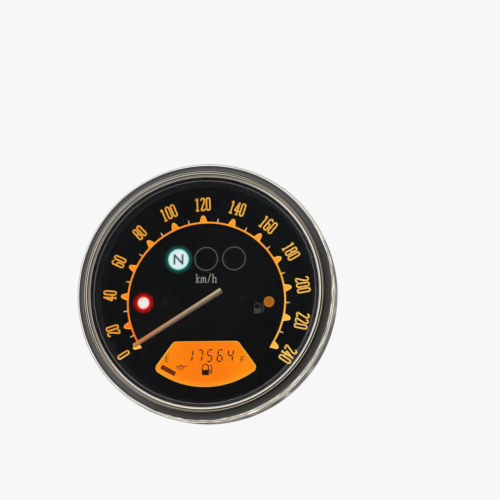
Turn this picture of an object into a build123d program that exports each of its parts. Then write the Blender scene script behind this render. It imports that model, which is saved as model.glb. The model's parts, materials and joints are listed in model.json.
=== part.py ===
"""Round motorcycle instrument cluster: dial, display and telltale lamps in a chrome-ringed can.

Everything is modelled in millimetres with the dial facing +Z and 12 o'clock at +Y.
Z is 0 at the seats of the three mounting bosses, on the axis of the bezel.
Each sub-part is turned on export, so that the dial faces -Y and 12 o'clock is at +Z.
"""

from math import acos, cos, pi, radians, sin, tan
import os

from build123d import *

# ---- driving dimensions: outside -------------------------------------------------------------
BEZEL_R = 60.0          # outer radius of the chrome ring
OPENING_R = 53.0        # radius of the clear opening in the ring
BEZEL_WALL = 0.8        # thickness of the ring's side wall
CAN_R = 52.0            # outer radius of the rear case
CAN_WALL = 2.2
FLANGE_R = 56.5         # flange that the case screws go through
HOUSING_R = 59.0        # front housing, inside the ring's side wall
HOUSING_BORE_R = 55.0   # bore that the dial stack drops into

# ---- heights up the axis ---------------------------------------------------------------------
CASE_BACK = 4.0         # outer face of the rear wall
CASE_FLOOR = 6.5        # inner face of the rear wall
FLANGE_BACK = 25.5
HOUSING_BACK = 28.0     # joint between rear case and front housing
HOUSING_LEDGE = 33.0    # ledge that carries the dial stack
HOUSING_TOP = 41.0      # seat of the lens gasket
LENS_BACK = 42.0
LENS_FRONT = 44.0
BEZEL_FRONT = 46.0      # crest of the bead round the opening
BOARD_BACK = 25.0
BOARD_FRONT = 26.6
PLATE_FRONT = 34.4      # front of the light box
DIAL_BACK = 37.0
DIAL_FRONT = 38.0
DIAL_STEP = 0.2         # depth of the round recess inside the numerals

# ---- dial layout, measured from the pointer's pivot ------------------------------------------
PIVOT = (0.0, -3.9)     # the pointer turns a little below the centre of the bezel
RECESS_R = 40.2         # recess in the dial, round the pivot
ZERO_ANGLE = 211.8      # direction of the pointer at rest, counter-clockwise from 3 o'clock
POINTER_TIP = 39.0
POINTER_TAIL = 8.8
POINTER_ROOT_WIDTH = 2.4
POINTER_TIP_WIDTH = 1.8
POINTER_BACK = 39.4
POINTER_FRONT = 40.6
HUB_R = 2.0
LAMP_ROW = ((-13.05, 19.65), (0.0, 19.65), (13.05, 19.65))
LAMP_R = 5.35
WARNING_LAMP = (-29.3, -0.5)
WARNING_R = 3.4
FUEL_LAMP = (29.3, -0.7)
FUEL_R = 2.4
LAMP_PLAY = 0.1         # gap round each lamp lens
LCD_TOP = -18.5
LCD_TOP_HALF = 15.0
LCD_BOTTOM_R = 39.5
LCD_CORNER_ANGLE = 232.0
LCD_CORNER_R = 2.4
LCD_CENTRE = (0.0, -33.0)   # centre of the glass, from the bezel's axis
LCD_SIZE = (49.0, 23.0)

# ---- protector films -------------------------------------------------------------------------
FILM_R = 51.4
FILM_THICKNESS = 0.2
FILM_GAP = 0.05

# ---- pointer motor ---------------------------------------------------------------------------
GEAR_MODULE = 0.25
WHEEL_TEETH = 60
PINION_TEETH = 12
PRESSURE_ANGLE = 25.0
TOOTH_THINNING = 0.84   # tooth thickness as a share of the ideal one, for backlash
CENTRE_DISTANCE = GEAR_MODULE * (WHEEL_TEETH + PINION_TEETH) / 2
STAGE_ANGLE = -60.0     # direction from the output shaft to the intermediate arbor
SHAFT_R = 0.9
ARBOR_R = 0.5
ARBOR_PLAY = 0.03
SHAFT_PLAY = 0.05
MOTOR_SIZE = (31.0, 27.0)
MOTOR_OFFSET = -4.0     # centre of the motor case below the pivot
MOTOR_WALL = 1.0
MOTOR_BACK = 14.6
MOTOR_FLOOR = 15.4
MOTOR_SPLIT = 21.2
MOTOR_CEILING = 24.1
MAGNET_R = 3.0
POLE_RING_R = 5.4
CORE_BAR = 1.6
CORE_BACK = 17.0
CORE_FRONT = 18.2
COIL_R = 2.0
MOTOR_PINS = ((-13.2, 7.0), (13.2, 7.0), (-13.2, -14.2), (13.2, -14.2))
PIN_R = 0.45

# ---- rear fittings ---------------------------------------------------------------------------
STUD_R = 2.5
STUD_LENGTH = 14.0
STUD_PCD = 70.0
STUD_ANGLES = (90.0, 210.0, 330.0)
BOSS_R = 7.0
BOSS_RECESS = (3.2, 0.8)    # radius and depth of the recess round each stud
SCREW_PCD = 108.4
SCREW_ANGLES = (45.0, 135.0, 225.0, 315.0)
SCREW_HEAD_R = 2.1
SCREW_R = 1.25
BOARD_R = 49.3
BOARD_SCREW_PCD = 88.0
BOARD_SCREW_ANGLES = (35.0, 145.0, 215.0, 325.0)
CONNECTOR = (0.0, -29.0)
CONNECTOR_SIZE = (24.0, 13.0)
CONNECTOR_WALL = 1.5
CONNECTOR_MOUTH = 0.5
CONNECTOR_FLOOR = (12.0, 15.0)
CONTACT_WIDTH = 0.64
CONTACT_PITCH = (4.4, 4.0)
CONTACT_ROWS = (4, 2)
VENT = (-22.0, 22.0)
BUTTON = (22.0, 22.0)
BUTTON_R = 3.0
BUTTON_PLAY = 0.06
BUTTON_CAP_R = 4.5
BUTTON_TIP = 20.2       # height where the stem meets the switch

FIT_GAP = 0.02          # gap between pieces that are pressed or moulded together
CENTRE_MIN = (Align.CENTER, Align.CENTER, Align.MIN)


# ---- helpers ---------------------------------------------------------------------------------
def disc(radius, low, high, at=(0.0, 0.0)):
    """Upright cylinder between two heights."""
    return Pos(at[0], at[1], low) * Cylinder(radius, high - low, align=CENTRE_MIN)


def ring(outer, inner, low, high, at=(0.0, 0.0)):
    """Upright tube between two heights."""
    return disc(outer, low, high, at) - disc(inner, low, high, at)


def block(width, depth, low, high, at=(0.0, 0.0)):
    """Upright box between two heights, centred on a point."""
    return Pos(at[0], at[1], low) * Box(width, depth, high - low, align=CENTRE_MIN)


def rounded_block(width, depth, corner, low, high, at=(0.0, 0.0)):
    """Upright box with rounded upright edges."""
    outline = RectangleRounded(width, depth, corner)
    return Pos(at[0], at[1], low) * extrude(outline, high - low)


def turned(profile):
    """Solid of revolution of a closed (radius, height) outline given as one wire."""
    return revolve(Plane.XZ * make_face(profile), axis=Axis.Z)


def turned_polygon(*points):
    """Solid of revolution of a polygon of (radius, height) points."""
    return turned(Polyline(*points, close=True))


def polar(radius, angle, centre=(0.0, 0.0)):
    """Point at a radius and an angle in degrees from a centre."""
    return (centre[0] + radius * cos(radians(angle)), centre[1] + radius * sin(radians(angle)))


def from_pivot(point):
    """Bezel coordinates of a point that is given from the pointer's pivot."""
    return (point[0] + PIVOT[0], point[1] + PIVOT[1])


def circle_points(diameter, angles):
    """Points on a pitch circle round the bezel's axis."""
    return [polar(diameter / 2, angle) for angle in angles]


def joined(solids):
    """Union of a list of solids that touch or overlap."""
    total = solids[0]
    for solid in solids[1:]:
        total += solid
    return total


def group(solids):
    """Several separate solids as one part."""
    return Compound(children=[solid.solid() for solid in solids])


def lamp_places():
    """Every telltale lamp as (place from the bezel's axis, lens radius)."""
    row = [(from_pivot(place), LAMP_R) for place in LAMP_ROW]
    return row + [(from_pivot(WARNING_LAMP), WARNING_R), (from_pivot(FUEL_LAMP), FUEL_R)]


# ---- chrome ring, lens and housing -----------------------------------------------------------
def bezel_ring():
    """Convex ring with a bead round the opening, rolled in behind the front housing."""
    bead_r = 1.15
    bead = OPENING_R + bead_r
    groove = (bead + bead_r + 0.15, LENS_FRONT + 1.0)
    band_top = (groove[0] + 0.2, LENS_FRONT + 1.55)
    round_r = 5.6       # the band runs over into the side wall in one sweep
    round_base = LENS_FRONT - 3.9
    round_middle = polar(round_r, 40.0, (BEZEL_R - round_r, round_base))
    inner = BEZEL_R - BEZEL_WALL
    roll_back = HOUSING_BACK - 1.2
    roll_front = HOUSING_BACK - FIT_GAP
    outline = Line((OPENING_R, LENS_FRONT), (OPENING_R, BEZEL_FRONT - bead_r))
    outline += ThreePointArc(
        (OPENING_R, BEZEL_FRONT - bead_r),
        (bead, BEZEL_FRONT),
        (bead + bead_r, BEZEL_FRONT - bead_r),
    )
    outline += Polyline((bead + bead_r, BEZEL_FRONT - bead_r), groove, band_top)
    outline += ThreePointArc(band_top, round_middle, (BEZEL_R, round_base))
    outline += Line((BEZEL_R, round_base), (BEZEL_R, roll_back + 0.8))
    outline += ThreePointArc(
        (BEZEL_R, roll_back + 0.8),
        (BEZEL_R - 0.235, roll_back + 0.235),
        (BEZEL_R - 0.8, roll_back),
    )
    outline += Polyline(
        (BEZEL_R - 0.8, roll_back),
        (57.2, roll_back),
        (57.2, roll_front),
        (inner, roll_front),
        (inner, HOUSING_TOP - 0.3),
        (57.7, LENS_BACK + 0.2),
        (57.7, LENS_FRONT),
        (OPENING_R, LENS_FRONT),
    )
    return turned(outline)


def lens():
    """Flat clear window."""
    return disc(57.4, LENS_BACK, LENS_FRONT)


def lens_gasket():
    """Rubber ring between the lens and the front housing."""
    return ring(57.4, HOUSING_BORE_R, HOUSING_TOP, LENS_BACK)


def protector_film(index):
    """Clear protector film laid on the lens; films are stacked by index."""
    low = LENS_FRONT + FILM_GAP + index * (FILM_THICKNESS + FILM_GAP)
    return disc(FILM_R, low, low + FILM_THICKNESS)


def front_housing():
    """Black ring that carries the dial stack and the lens inside the chrome ring."""
    body = turned_polygon(
        (50.0, HOUSING_BACK),
        (HOUSING_R, HOUSING_BACK),
        (HOUSING_R, HOUSING_TOP - 0.6),
        (57.5, HOUSING_TOP),
        (HOUSING_BORE_R, HOUSING_TOP),
        (HOUSING_BORE_R, HOUSING_LEDGE),
        (50.0, HOUSING_LEDGE),
    )
    for place in circle_points(SCREW_PCD, SCREW_ANGLES):
        body -= disc(SCREW_R + FIT_GAP, HOUSING_BACK, HOUSING_LEDGE - 0.4, place)
    return body


def dial_shroud():
    """Sloping black ring between the dial's edge and the lens."""
    top = LENS_BACK - 0.2
    return turned_polygon(
        (52.7, DIAL_FRONT),
        (54.8, DIAL_FRONT),
        (54.8, top),
        (54.0, top),
        (52.7, DIAL_FRONT + 0.5),
    )


# ---- dial and display ------------------------------------------------------------------------
def lcd_window(low, high):
    """Solid of the display window's outline: straight top, sloping sides, round bottom."""
    corner_r = LCD_BOTTOM_R
    right = polar(corner_r, 540.0 - LCD_CORNER_ANGLE)
    left = polar(corner_r, LCD_CORNER_ANGLE)
    outline = Line((-LCD_TOP_HALF, LCD_TOP), (LCD_TOP_HALF, LCD_TOP))
    outline += Line((LCD_TOP_HALF, LCD_TOP), right)
    outline += ThreePointArc(right, (0.0, -corner_r), left)
    outline += Line(left, (-LCD_TOP_HALF, LCD_TOP))
    face = make_face(outline)
    face = fillet(face.vertices(), LCD_CORNER_R)
    return Pos(*PIVOT, low) * extrude(face, high - low)


def dial_plate():
    """Black dial with a round recess, lamp holes and the display window."""
    plate = disc(54.4, DIAL_BACK, DIAL_FRONT)
    plate -= disc(RECESS_R, DIAL_FRONT - DIAL_STEP, DIAL_FRONT, PIVOT)
    plate -= disc(1.5, DIAL_BACK, DIAL_FRONT, PIVOT)
    for place, radius in lamp_places():
        plate -= disc(radius + LAMP_PLAY, DIAL_BACK, DIAL_FRONT, place)
    return plate - lcd_window(DIAL_BACK, DIAL_FRONT)


def light_guide():
    """Clear plate that spreads the backlight under the dial."""
    plate = disc(54.6, PLATE_FRONT, DIAL_BACK)
    plate -= disc(3.0, PLATE_FRONT, DIAL_BACK, PIVOT)
    for place, radius in lamp_places():
        plate -= disc(radius + 3 * LAMP_PLAY, PLATE_FRONT, DIAL_BACK, place)
    width, depth = LCD_SIZE
    return plate - block(width + 2.8, depth + 2.8, PLATE_FRONT, DIAL_BACK, LCD_CENTRE)


def lamp_lens(place, radius):
    """Telltale lens: a collar held under the dial and a face that fills the dial's hole."""
    front = DIAL_FRONT - DIAL_STEP + 0.2
    collar = disc(radius + 2 * LAMP_PLAY, PLATE_FRONT + 0.1, DIAL_BACK - 0.1, place)
    face = disc(radius, DIAL_BACK - 0.1, front, place)
    face = chamfer(face.edges().sort_by(Axis.Z)[-1], 0.15)
    return collar + face


def dark_lamp_lenses():
    """The two unlit round lenses beside the neutral lamp."""
    return group([lamp_lens(from_pivot(place), LAMP_R) for place in LAMP_ROW[1:]])


def lcd_glass():
    """Glass sandwich of the display."""
    return block(*LCD_SIZE, PLATE_FRONT + 0.2, DIAL_BACK - 0.1, LCD_CENTRE)


def lcd_frame():
    """Thin frame that centres the glass in the light guide."""
    width, depth = LCD_SIZE
    outer = block(width + 2.4, depth + 2.4, PLATE_FRONT, DIAL_BACK - 0.1, LCD_CENTRE)
    return outer - block(width + 0.2, depth + 0.2, PLATE_FRONT, DIAL_BACK - 0.1, LCD_CENTRE)


def lcd_diffuser():
    """Milky plate behind the glass."""
    return block(45.4, 19.2, PLATE_FRONT - 2.0, PLATE_FRONT, LCD_CENTRE)


def lcd_zebra_strips():
    """Two rubber contact strips between the board and the glass."""
    offset = LCD_SIZE[1] / 2 - 1.0
    strips = []
    for side in (-1, 1):
        place = (LCD_CENTRE[0], LCD_CENTRE[1] + side * offset)
        strips.append(block(32.0, 1.5, BOARD_FRONT, PLATE_FRONT + 0.2, place))
    return group(strips)


def light_box():
    """White moulding with a chamber for each lamp, posts for the board and a plate on top."""
    chamber_wall = 0.7
    width, depth = 46.4, 23.2
    walls = [ring(49.4, 47.9, BOARD_FRONT, HOUSING_LEDGE)]
    for place, radius in lamp_places() + [(PIVOT, 2.9)]:
        walls.append(disc(radius + 0.2 + chamber_wall, BOARD_FRONT, HOUSING_LEDGE, place))
    for place in circle_points(BOARD_SCREW_PCD, BOARD_SCREW_ANGLES):
        walls.append(disc(2.6, BOARD_FRONT, HOUSING_LEDGE, place))
    walls.append(block(width + 2.4, depth + 2.4, BOARD_FRONT, HOUSING_LEDGE, LCD_CENTRE))
    body = disc(54.6, HOUSING_LEDGE, PLATE_FRONT)
    body += joined(walls) & disc(49.4, BOARD_FRONT, HOUSING_LEDGE)
    for place, radius in lamp_places() + [(PIVOT, 2.9)]:
        body -= disc(radius + 0.2, BOARD_FRONT, PLATE_FRONT, place)
    for place in backlight_places():
        body -= disc(2.6, HOUSING_LEDGE, PLATE_FRONT, place)
    for place in circle_points(BOARD_SCREW_PCD, BOARD_SCREW_ANGLES):
        body -= disc(1.1 + FIT_GAP, BOARD_FRONT, HOUSING_LEDGE - 1.0, place)
    inner_ring = disc(47.9, BOARD_FRONT, HOUSING_LEDGE)
    body -= block(width, depth, BOARD_FRONT, HOUSING_LEDGE, LCD_CENTRE) & inner_ring
    return body - block(width, depth, HOUSING_LEDGE, PLATE_FRONT, LCD_CENTRE)


# ---- circuit board ---------------------------------------------------------------------------
def backlight_places():
    """Backlight lamps in a ring behind the numerals."""
    return [polar(40.0, angle) for angle in (-25, 0, 30, 60, 90, 120, 150, 180, 205)]


def contact_places():
    """Contacts of the rear connector in a grid."""
    columns, rows = CONTACT_ROWS
    places = []
    for column in range(columns):
        for row in range(rows):
            x = CONNECTOR[0] + (column - (columns - 1) / 2) * CONTACT_PITCH[0]
            y = CONNECTOR[1] + (row - (rows - 1) / 2) * CONTACT_PITCH[1]
            places.append((x, y))
    return places


def main_board():
    """Round circuit board with its holes."""
    board = disc(BOARD_R, BOARD_BACK, BOARD_FRONT)
    board -= disc(3.0, BOARD_BACK, BOARD_FRONT, PIVOT)
    for place in MOTOR_PINS:
        board -= disc(PIN_R + 0.15, BOARD_BACK, BOARD_FRONT, from_pivot(place))
    for place in contact_places():
        board -= disc(0.6, BOARD_BACK, BOARD_FRONT, place)
    for place in circle_points(BOARD_SCREW_PCD, BOARD_SCREW_ANGLES):
        board -= disc(1.25, BOARD_BACK, BOARD_FRONT, place)
    return board


def board_screws():
    """Screws through the board into the light box's posts."""
    screws = []
    for place in circle_points(BOARD_SCREW_PCD, BOARD_SCREW_ANGLES):
        head = disc(2.2, BOARD_BACK - 1.4, BOARD_BACK, place)
        head -= block(2.8, 0.6, BOARD_BACK - 1.4, BOARD_BACK - 0.8, place)
        head -= block(0.6, 2.8, BOARD_BACK - 1.4, BOARD_BACK - 0.8, place)
        screws.append(head + disc(1.1, BOARD_BACK, HOUSING_LEDGE - 1.2, place))
    return group(screws)


def surface_led(place):
    """Small surface-mount lamp with a round lens."""
    body = block(3.2, 2.8, BOARD_FRONT, BOARD_FRONT + 1.7, place)
    return body + disc(1.1, BOARD_FRONT + 1.7, BOARD_FRONT + 1.9, place)


def indicator_leds():
    """One lamp behind each telltale lens."""
    return group([surface_led(place) for place, _ in lamp_places()])


def backlight_leds():
    """Lamps behind the numerals and the display."""
    display = [(LCD_CENTRE[0] + offset, LCD_CENTRE[1]) for offset in (-15.0, 0.0, 15.0)]
    return group([surface_led(place) for place in backlight_places() + display])


def microcontroller():
    """Square chip with a skirt of leads."""
    place = (-31.0, -8.0)
    body = block(10.0, 10.0, BOARD_BACK - 1.7, BOARD_BACK - 0.3, place)
    return body + block(12.0, 12.0, BOARD_BACK - 0.3, BOARD_BACK, place)


def regulator():
    """Voltage regulator with its heat tab."""
    place = (29.0, -6.0)
    body = block(6.5, 3.5, BOARD_BACK - 1.7, BOARD_BACK, place)
    body += block(3.2, 1.8, BOARD_BACK - 0.4, BOARD_BACK, (place[0], place[1] + 2.6))
    for offset in (-2.3, 0.0, 2.3):
        body += block(0.8, 1.8, BOARD_BACK - 0.4, BOARD_BACK, (place[0] + offset, place[1] - 2.6))
    return body


def capacitors():
    """Two can capacitors on square bases."""
    cans = []
    for place in ((-27.0, 9.0), (-36.0, 9.0)):
        base = block(6.6, 6.6, BOARD_BACK - 1.2, BOARD_BACK, place)
        can = disc(3.15, BOARD_BACK - 6.5, BOARD_BACK - 1.2, place)
        can = fillet(can.edges().sort_by(Axis.Z)[0], 0.6)
        cans.append(base + can)
    return group(cans)


def board_resistors():
    """Chip resistors in two rows."""
    places = [(22.0 + 3.2 * column, 5.0 + 4.0 * row) for column in range(5) for row in range(2)]
    return group([block(1.25, 2.0, BOARD_BACK - 0.5, BOARD_BACK, place) for place in places])


# ---- pointer motor ---------------------------------------------------------------------------
def involute(angle):
    """Involute function of an angle in radians."""
    return tan(angle) - angle


def gear_outline(teeth, turn):
    """Closed outline of a spur gear with a tooth centred on the angle turn, in degrees."""
    pitch_r = GEAR_MODULE * teeth / 2
    base_r = pitch_r * cos(radians(PRESSURE_ANGLE))
    tip_r = pitch_r + 0.8 * GEAR_MODULE
    root_r = pitch_r - 1.1 * GEAR_MODULE
    half_tooth = TOOTH_THINNING * pi / (2 * teeth)
    flank = []
    for radius in (root_r, pitch_r, tip_r):
        contact = max(radius, base_r)
        roll = involute(radians(PRESSURE_ANGLE)) - involute(acos(base_r / contact))
        flank.append((radius, half_tooth + roll))
    points = []
    for tooth in range(teeth):
        centre = radians(turn) + 2 * pi * tooth / teeth
        for radius, half in flank:
            points.append((radius * cos(centre - half), radius * sin(centre - half)))
        for radius, half in reversed(flank):
            points.append((radius * cos(centre + half), radius * sin(centre + half)))
    return Polyline(*points, close=True)


def gear(teeth, turn, low, high, at):
    """Spur gear between two heights."""
    return Pos(at[0], at[1], low) * extrude(make_face(gear_outline(teeth, turn)), high - low)


ARBOR = polar(CENTRE_DISTANCE, STAGE_ANGLE, PIVOT)      # intermediate gear
ROTOR = (ARBOR[0] - CENTRE_DISTANCE, ARBOR[1])          # magnet rotor, straight to its left
HALF_PINION = 180.0 / PINION_TEETH


def pointer_shaft():
    """Output gear and the long shaft that carries the pointer."""
    wheel = gear(WHEEL_TEETH, STAGE_ANGLE, 22.6, 23.8, PIVOT)
    return wheel + disc(SHAFT_R, MOTOR_FLOOR + 0.1, POINTER_BACK + 0.6, PIVOT)


def intermediate_gear():
    """Pinion on the output gear and wheel on the rotor's pinion, on one arbor."""
    toward_output = STAGE_ANGLE + 180.0
    pinion = gear(PINION_TEETH, toward_output + HALF_PINION, 21.8, 24.0, ARBOR)
    wheel = gear(WHEEL_TEETH, 180.0, 20.6, 21.8, ARBOR)
    return pinion + wheel + disc(ARBOR_R, MOTOR_FLOOR + 0.1, MOTOR_CEILING + 0.5, ARBOR)


def rotor_pinion():
    """Rotor arbor with its pinion."""
    pinion = gear(PINION_TEETH, HALF_PINION, 20.4, 22.0, ROTOR)
    return pinion + disc(ARBOR_R, MOTOR_FLOOR + 0.1, MOTOR_CEILING + 0.5, ROTOR)


def rotor_magnet():
    """Ring magnet on the rotor's arbor."""
    return ring(MAGNET_R, ARBOR_R + FIT_GAP, 16.6, 20.0, ROTOR)


def core_bars():
    """Centre lines of the stator's bars from the pivot, as (x, y, width, depth)."""
    return (
        (-10.65, -7.8, 3.3, CORE_BAR),
        (-11.5, -0.9, CORE_BAR, 15.4),
        (-0.75, 6.0, 23.1, CORE_BAR),
        (10.0, -3.9, CORE_BAR, 21.4),
        (2.35, -13.8, 16.9, CORE_BAR),
        (-4.5, -13.4, 2.4, 1.8),
    )


def stator_core():
    """Iron loop with a pole ring round the magnet."""
    solids = [disc(POLE_RING_R, CORE_BACK, CORE_FRONT, ROTOR)]
    for x, y, width, depth in core_bars():
        solids.append(block(width, depth, CORE_BACK, CORE_FRONT, from_pivot((x, y))))
    return joined(solids) - disc(MAGNET_R + 0.4, CORE_BACK, CORE_FRONT, ROTOR)


def motor_coils():
    """One coil on the upright bar and one on the top bar."""
    height = (CORE_BACK + CORE_FRONT) / 2
    left = from_pivot((-11.5, -0.5))
    top = from_pivot((-0.75, 6.0))
    upright = Pos(left[0], left[1], height) * Rot(90, 0, 0) * Cylinder(COIL_R, 8.2)
    across = Pos(top[0], top[1], height) * Rot(0, 90, 0) * Cylinder(COIL_R, 14.0)
    core_hole = CORE_BAR + 2 * FIT_GAP
    low, high = CORE_BACK - FIT_GAP, CORE_FRONT + FIT_GAP
    upright -= block(core_hole, 10.0, low, high, left)
    across -= block(16.0, core_hole, low, high, top)
    return group([upright, across])


def motor_pins():
    """Four pins that solder the motor to the board."""
    return group([disc(PIN_R, 20.6, BOARD_FRONT + 1.0, from_pivot(place)) for place in MOTOR_PINS])


def motor_shell(low, high, inner_low, inner_high):
    """Half of the motor case, hollow between two heights."""
    place = from_pivot((0.0, MOTOR_OFFSET))
    width, depth = MOTOR_SIZE
    shell = rounded_block(width, depth, 3.0, low, high, place)
    inner = (width - 2 * MOTOR_WALL, depth - 2 * MOTOR_WALL)
    return shell - rounded_block(*inner, 2.0, inner_low, inner_high, place)


def motor_case_rear():
    """Deep half with the lower bearings."""
    case = motor_shell(MOTOR_BACK, MOTOR_SPLIT, MOTOR_FLOOR, MOTOR_SPLIT)
    case += ring(2.2, SHAFT_R + SHAFT_PLAY, MOTOR_FLOOR, MOTOR_FLOOR + 1.1, PIVOT)
    for place in (ARBOR, ROTOR):
        case += ring(1.5, ARBOR_R + ARBOR_PLAY, MOTOR_FLOOR, MOTOR_FLOOR + 1.1, place)
    return case


def motor_case_front():
    """Shallow half against the board, with a collar round the output shaft."""
    case = motor_shell(MOTOR_SPLIT, BOARD_BACK, MOTOR_SPLIT, MOTOR_CEILING)
    case += disc(2.4, BOARD_BACK, BOARD_FRONT - 0.2, PIVOT)
    case -= disc(SHAFT_R + SHAFT_PLAY, MOTOR_CEILING, BOARD_FRONT - 0.2, PIVOT)
    for place in (ARBOR, ROTOR):
        case -= disc(ARBOR_R + ARBOR_PLAY, MOTOR_CEILING, MOTOR_CEILING + 0.6, place)
    for place in MOTOR_PINS:
        case -= disc(PIN_R + FIT_GAP, MOTOR_CEILING, BOARD_BACK, from_pivot(place))
    return case


# ---- pointer ---------------------------------------------------------------------------------
def pointer():
    """Straight tapered bar with bevelled front edges, pointing at zero."""
    root, tip = POINTER_ROOT_WIDTH / 2, POINTER_TIP_WIDTH / 2
    outline = Polyline(
        (-POINTER_TAIL, -root),
        (POINTER_TIP, -tip),
        (POINTER_TIP, tip),
        (-POINTER_TAIL, root),
        close=True,
    )
    bar = extrude(make_face(outline), POINTER_FRONT - POINTER_BACK)
    front = bar.faces().sort_by(Axis.Z)[-1]
    bar = chamfer(front.edges(), 0.35)
    bar -= Cylinder(SHAFT_R + FIT_GAP, 1.2)
    return Pos(PIVOT[0], PIVOT[1], POINTER_BACK) * Rot(0, 0, ZERO_ANGLE) * bar


def pointer_hub():
    """Low collar under the bar."""
    return ring(HUB_R, SHAFT_R + FIT_GAP, DIAL_FRONT + 0.5, POINTER_BACK, PIVOT)


# ---- rear case and fittings ------------------------------------------------------------------
def rear_case():
    """Cup with a screw flange, stud bosses and openings for the connector, vent and button."""
    inner = CAN_R - CAN_WALL
    outline = Line((0.0, CASE_BACK), (CAN_R - 3.0, CASE_BACK))
    outline += ThreePointArc(
        (CAN_R - 3.0, CASE_BACK),
        (CAN_R - 0.88, CASE_BACK + 0.88),
        (CAN_R, CASE_BACK + 3.0),
    )
    outline += Polyline(
        (CAN_R, CASE_BACK + 3.0),
        (CAN_R, FLANGE_BACK),
        (FLANGE_R, FLANGE_BACK),
        (FLANGE_R, HOUSING_BACK),
        (CAN_R, HOUSING_BACK),
        (CAN_R, HOUSING_BACK - 0.8),
        (inner, HOUSING_BACK - 0.8),
        (inner, CASE_FLOOR),
        (0.0, CASE_FLOOR),
        (0.0, CASE_BACK),
    )
    case = turned(outline)
    for place in circle_points(STUD_PCD, STUD_ANGLES):
        case += disc(BOSS_R, 0.0, CASE_BACK, place)
        case += disc(5.5, CASE_FLOOR, CASE_FLOOR + 4.5, place)
    case += disc(5.6, CASE_FLOOR, CASE_FLOOR + 1.0, BUTTON)
    for place in circle_points(STUD_PCD, STUD_ANGLES):
        case -= stud_root(place, FIT_GAP)
        case -= disc(BOSS_RECESS[0], 0.0, BOSS_RECESS[1], place)
    for place in circle_points(SCREW_PCD, SCREW_ANGLES):
        case -= disc(SCREW_R + 0.1, FLANGE_BACK, HOUSING_BACK, place)
    width, depth = CONNECTOR_SIZE
    case -= block(width + 0.4, depth + 0.4, CASE_BACK, CASE_FLOOR, CONNECTOR)
    case -= disc(3.05, CASE_BACK, CASE_FLOOR, VENT)
    case -= disc(BUTTON_R + BUTTON_PLAY, CASE_BACK, CASE_FLOOR + 1.0, BUTTON)
    case -= disc(4.4 + FIT_GAP, CASE_BACK, CASE_BACK + 1.2, BUTTON)
    return case


def stud_root(place, play=0.0):
    """Flanged end of a stud, moulded into its boss; play makes the matching cavity."""
    solid = disc(STUD_R - 0.3 + play, 0.0, CASE_FLOOR + 4.0, place)
    return solid + disc(4.0 + play, CASE_FLOOR + 0.5, CASE_FLOOR + 2.5, place)


def mount_studs():
    """Three studs that stand out of the rear bosses."""
    studs = []
    for place in circle_points(STUD_PCD, STUD_ANGLES):
        thread = disc(STUD_R, -STUD_LENGTH, 0.0, place)
        thread = chamfer(thread.edges().sort_by(Axis.Z)[0], 0.6)
        studs.append(thread + stud_root(place))
    return group(studs)


def case_seal():
    """Flat rubber ring between the rear case and the front housing."""
    return ring(CAN_R - 0.1, CAN_R - CAN_WALL + 0.2, HOUSING_BACK - 0.8, HOUSING_BACK)


def case_screws():
    """Screws through the flange into the front housing."""
    screws = []
    for place in circle_points(SCREW_PCD, SCREW_ANGLES):
        head = disc(SCREW_HEAD_R, FLANGE_BACK - 1.8, FLANGE_BACK, place)
        head -= block(2.6, 0.6, FLANGE_BACK - 1.8, FLANGE_BACK - 1.0, place)
        head -= block(0.6, 2.6, FLANGE_BACK - 1.8, FLANGE_BACK - 1.0, place)
        screws.append(head + disc(SCREW_R, FLANGE_BACK, HOUSING_LEDGE - 0.6, place))
    return group(screws)


def connector_shell():
    """Rectangular socket: open cavity at the rear, floor with contact slots, foot on the board."""
    width, depth = CONNECTOR_SIZE
    inner = (width - 2 * CONNECTOR_WALL, depth - 2 * CONNECTOR_WALL)
    floor_low, floor_high = CONNECTOR_FLOOR
    shell = block(width, depth, CONNECTOR_MOUTH, BOARD_BACK, CONNECTOR)
    shell += block(width + 4.0, depth + 4.0, CASE_FLOOR, CASE_FLOOR + 1.5, CONNECTOR)
    shell -= block(*inner, CONNECTOR_MOUTH, floor_low, CONNECTOR)
    shell -= block(*inner, floor_high, BOARD_BACK, CONNECTOR)
    slot = CONTACT_WIDTH + 2 * FIT_GAP
    for place in contact_places():
        shell -= block(slot, slot, floor_low, floor_high, place)
    return shell


def connector_pins():
    """Square contacts from the socket through the board."""
    size = (CONTACT_WIDTH, CONTACT_WIDTH)
    return group([block(*size, 5.0, BOARD_FRONT + 0.8, place) for place in contact_places()])


def breather_vent():
    """Vent plug with a cross slot under its cap."""
    plug = disc(5.0, 1.4, CASE_BACK, VENT) + disc(3.0, CASE_BACK, CASE_FLOOR + 1.0, VENT)
    plug -= disc(1.5, 2.2, CASE_FLOOR + 0.2, VENT)
    plug -= disc(2.4, CASE_FLOOR + 0.2, CASE_FLOOR + 1.0, VENT)
    plug -= block(11.0, 1.2, 2.2, 3.4, VENT)
    return plug


def vent_membrane():
    """Water-tight, air-open disc in the vent plug."""
    return disc(2.36, CASE_FLOOR + 0.25, CASE_FLOOR + 0.6, VENT)


def mode_button():
    """Push button with a cap outside, a stem through the wall and a stop collar inside."""
    cap = disc(BUTTON_CAP_R, 0.6, 2.6, BUTTON)
    cap = fillet(cap.edges().sort_by(Axis.Z)[0], 0.8)
    stem = disc(BUTTON_R, 2.6, 9.0, BUTTON) + disc(2.0, 9.0, BUTTON_TIP, BUTTON)
    return cap + stem + disc(4.2, 7.8, 9.0, BUTTON)


def button_seal():
    """Rubber ring round the button's stem, in a recess of the rear wall."""
    return ring(4.4, BUTTON_R + 0.08, CASE_BACK, CASE_BACK + 1.2, BUTTON)


def button_switch():
    """Body of the push switch on the board."""
    body = block(6.2, 6.2, 21.6, BOARD_BACK, BUTTON)
    return body - disc(1.78, 21.6, 24.7, BUTTON)


def switch_plunger():
    """Plunger of the push switch, against the button's stem."""
    return disc(1.7, BUTTON_TIP, 23.2, BUTTON)


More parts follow.
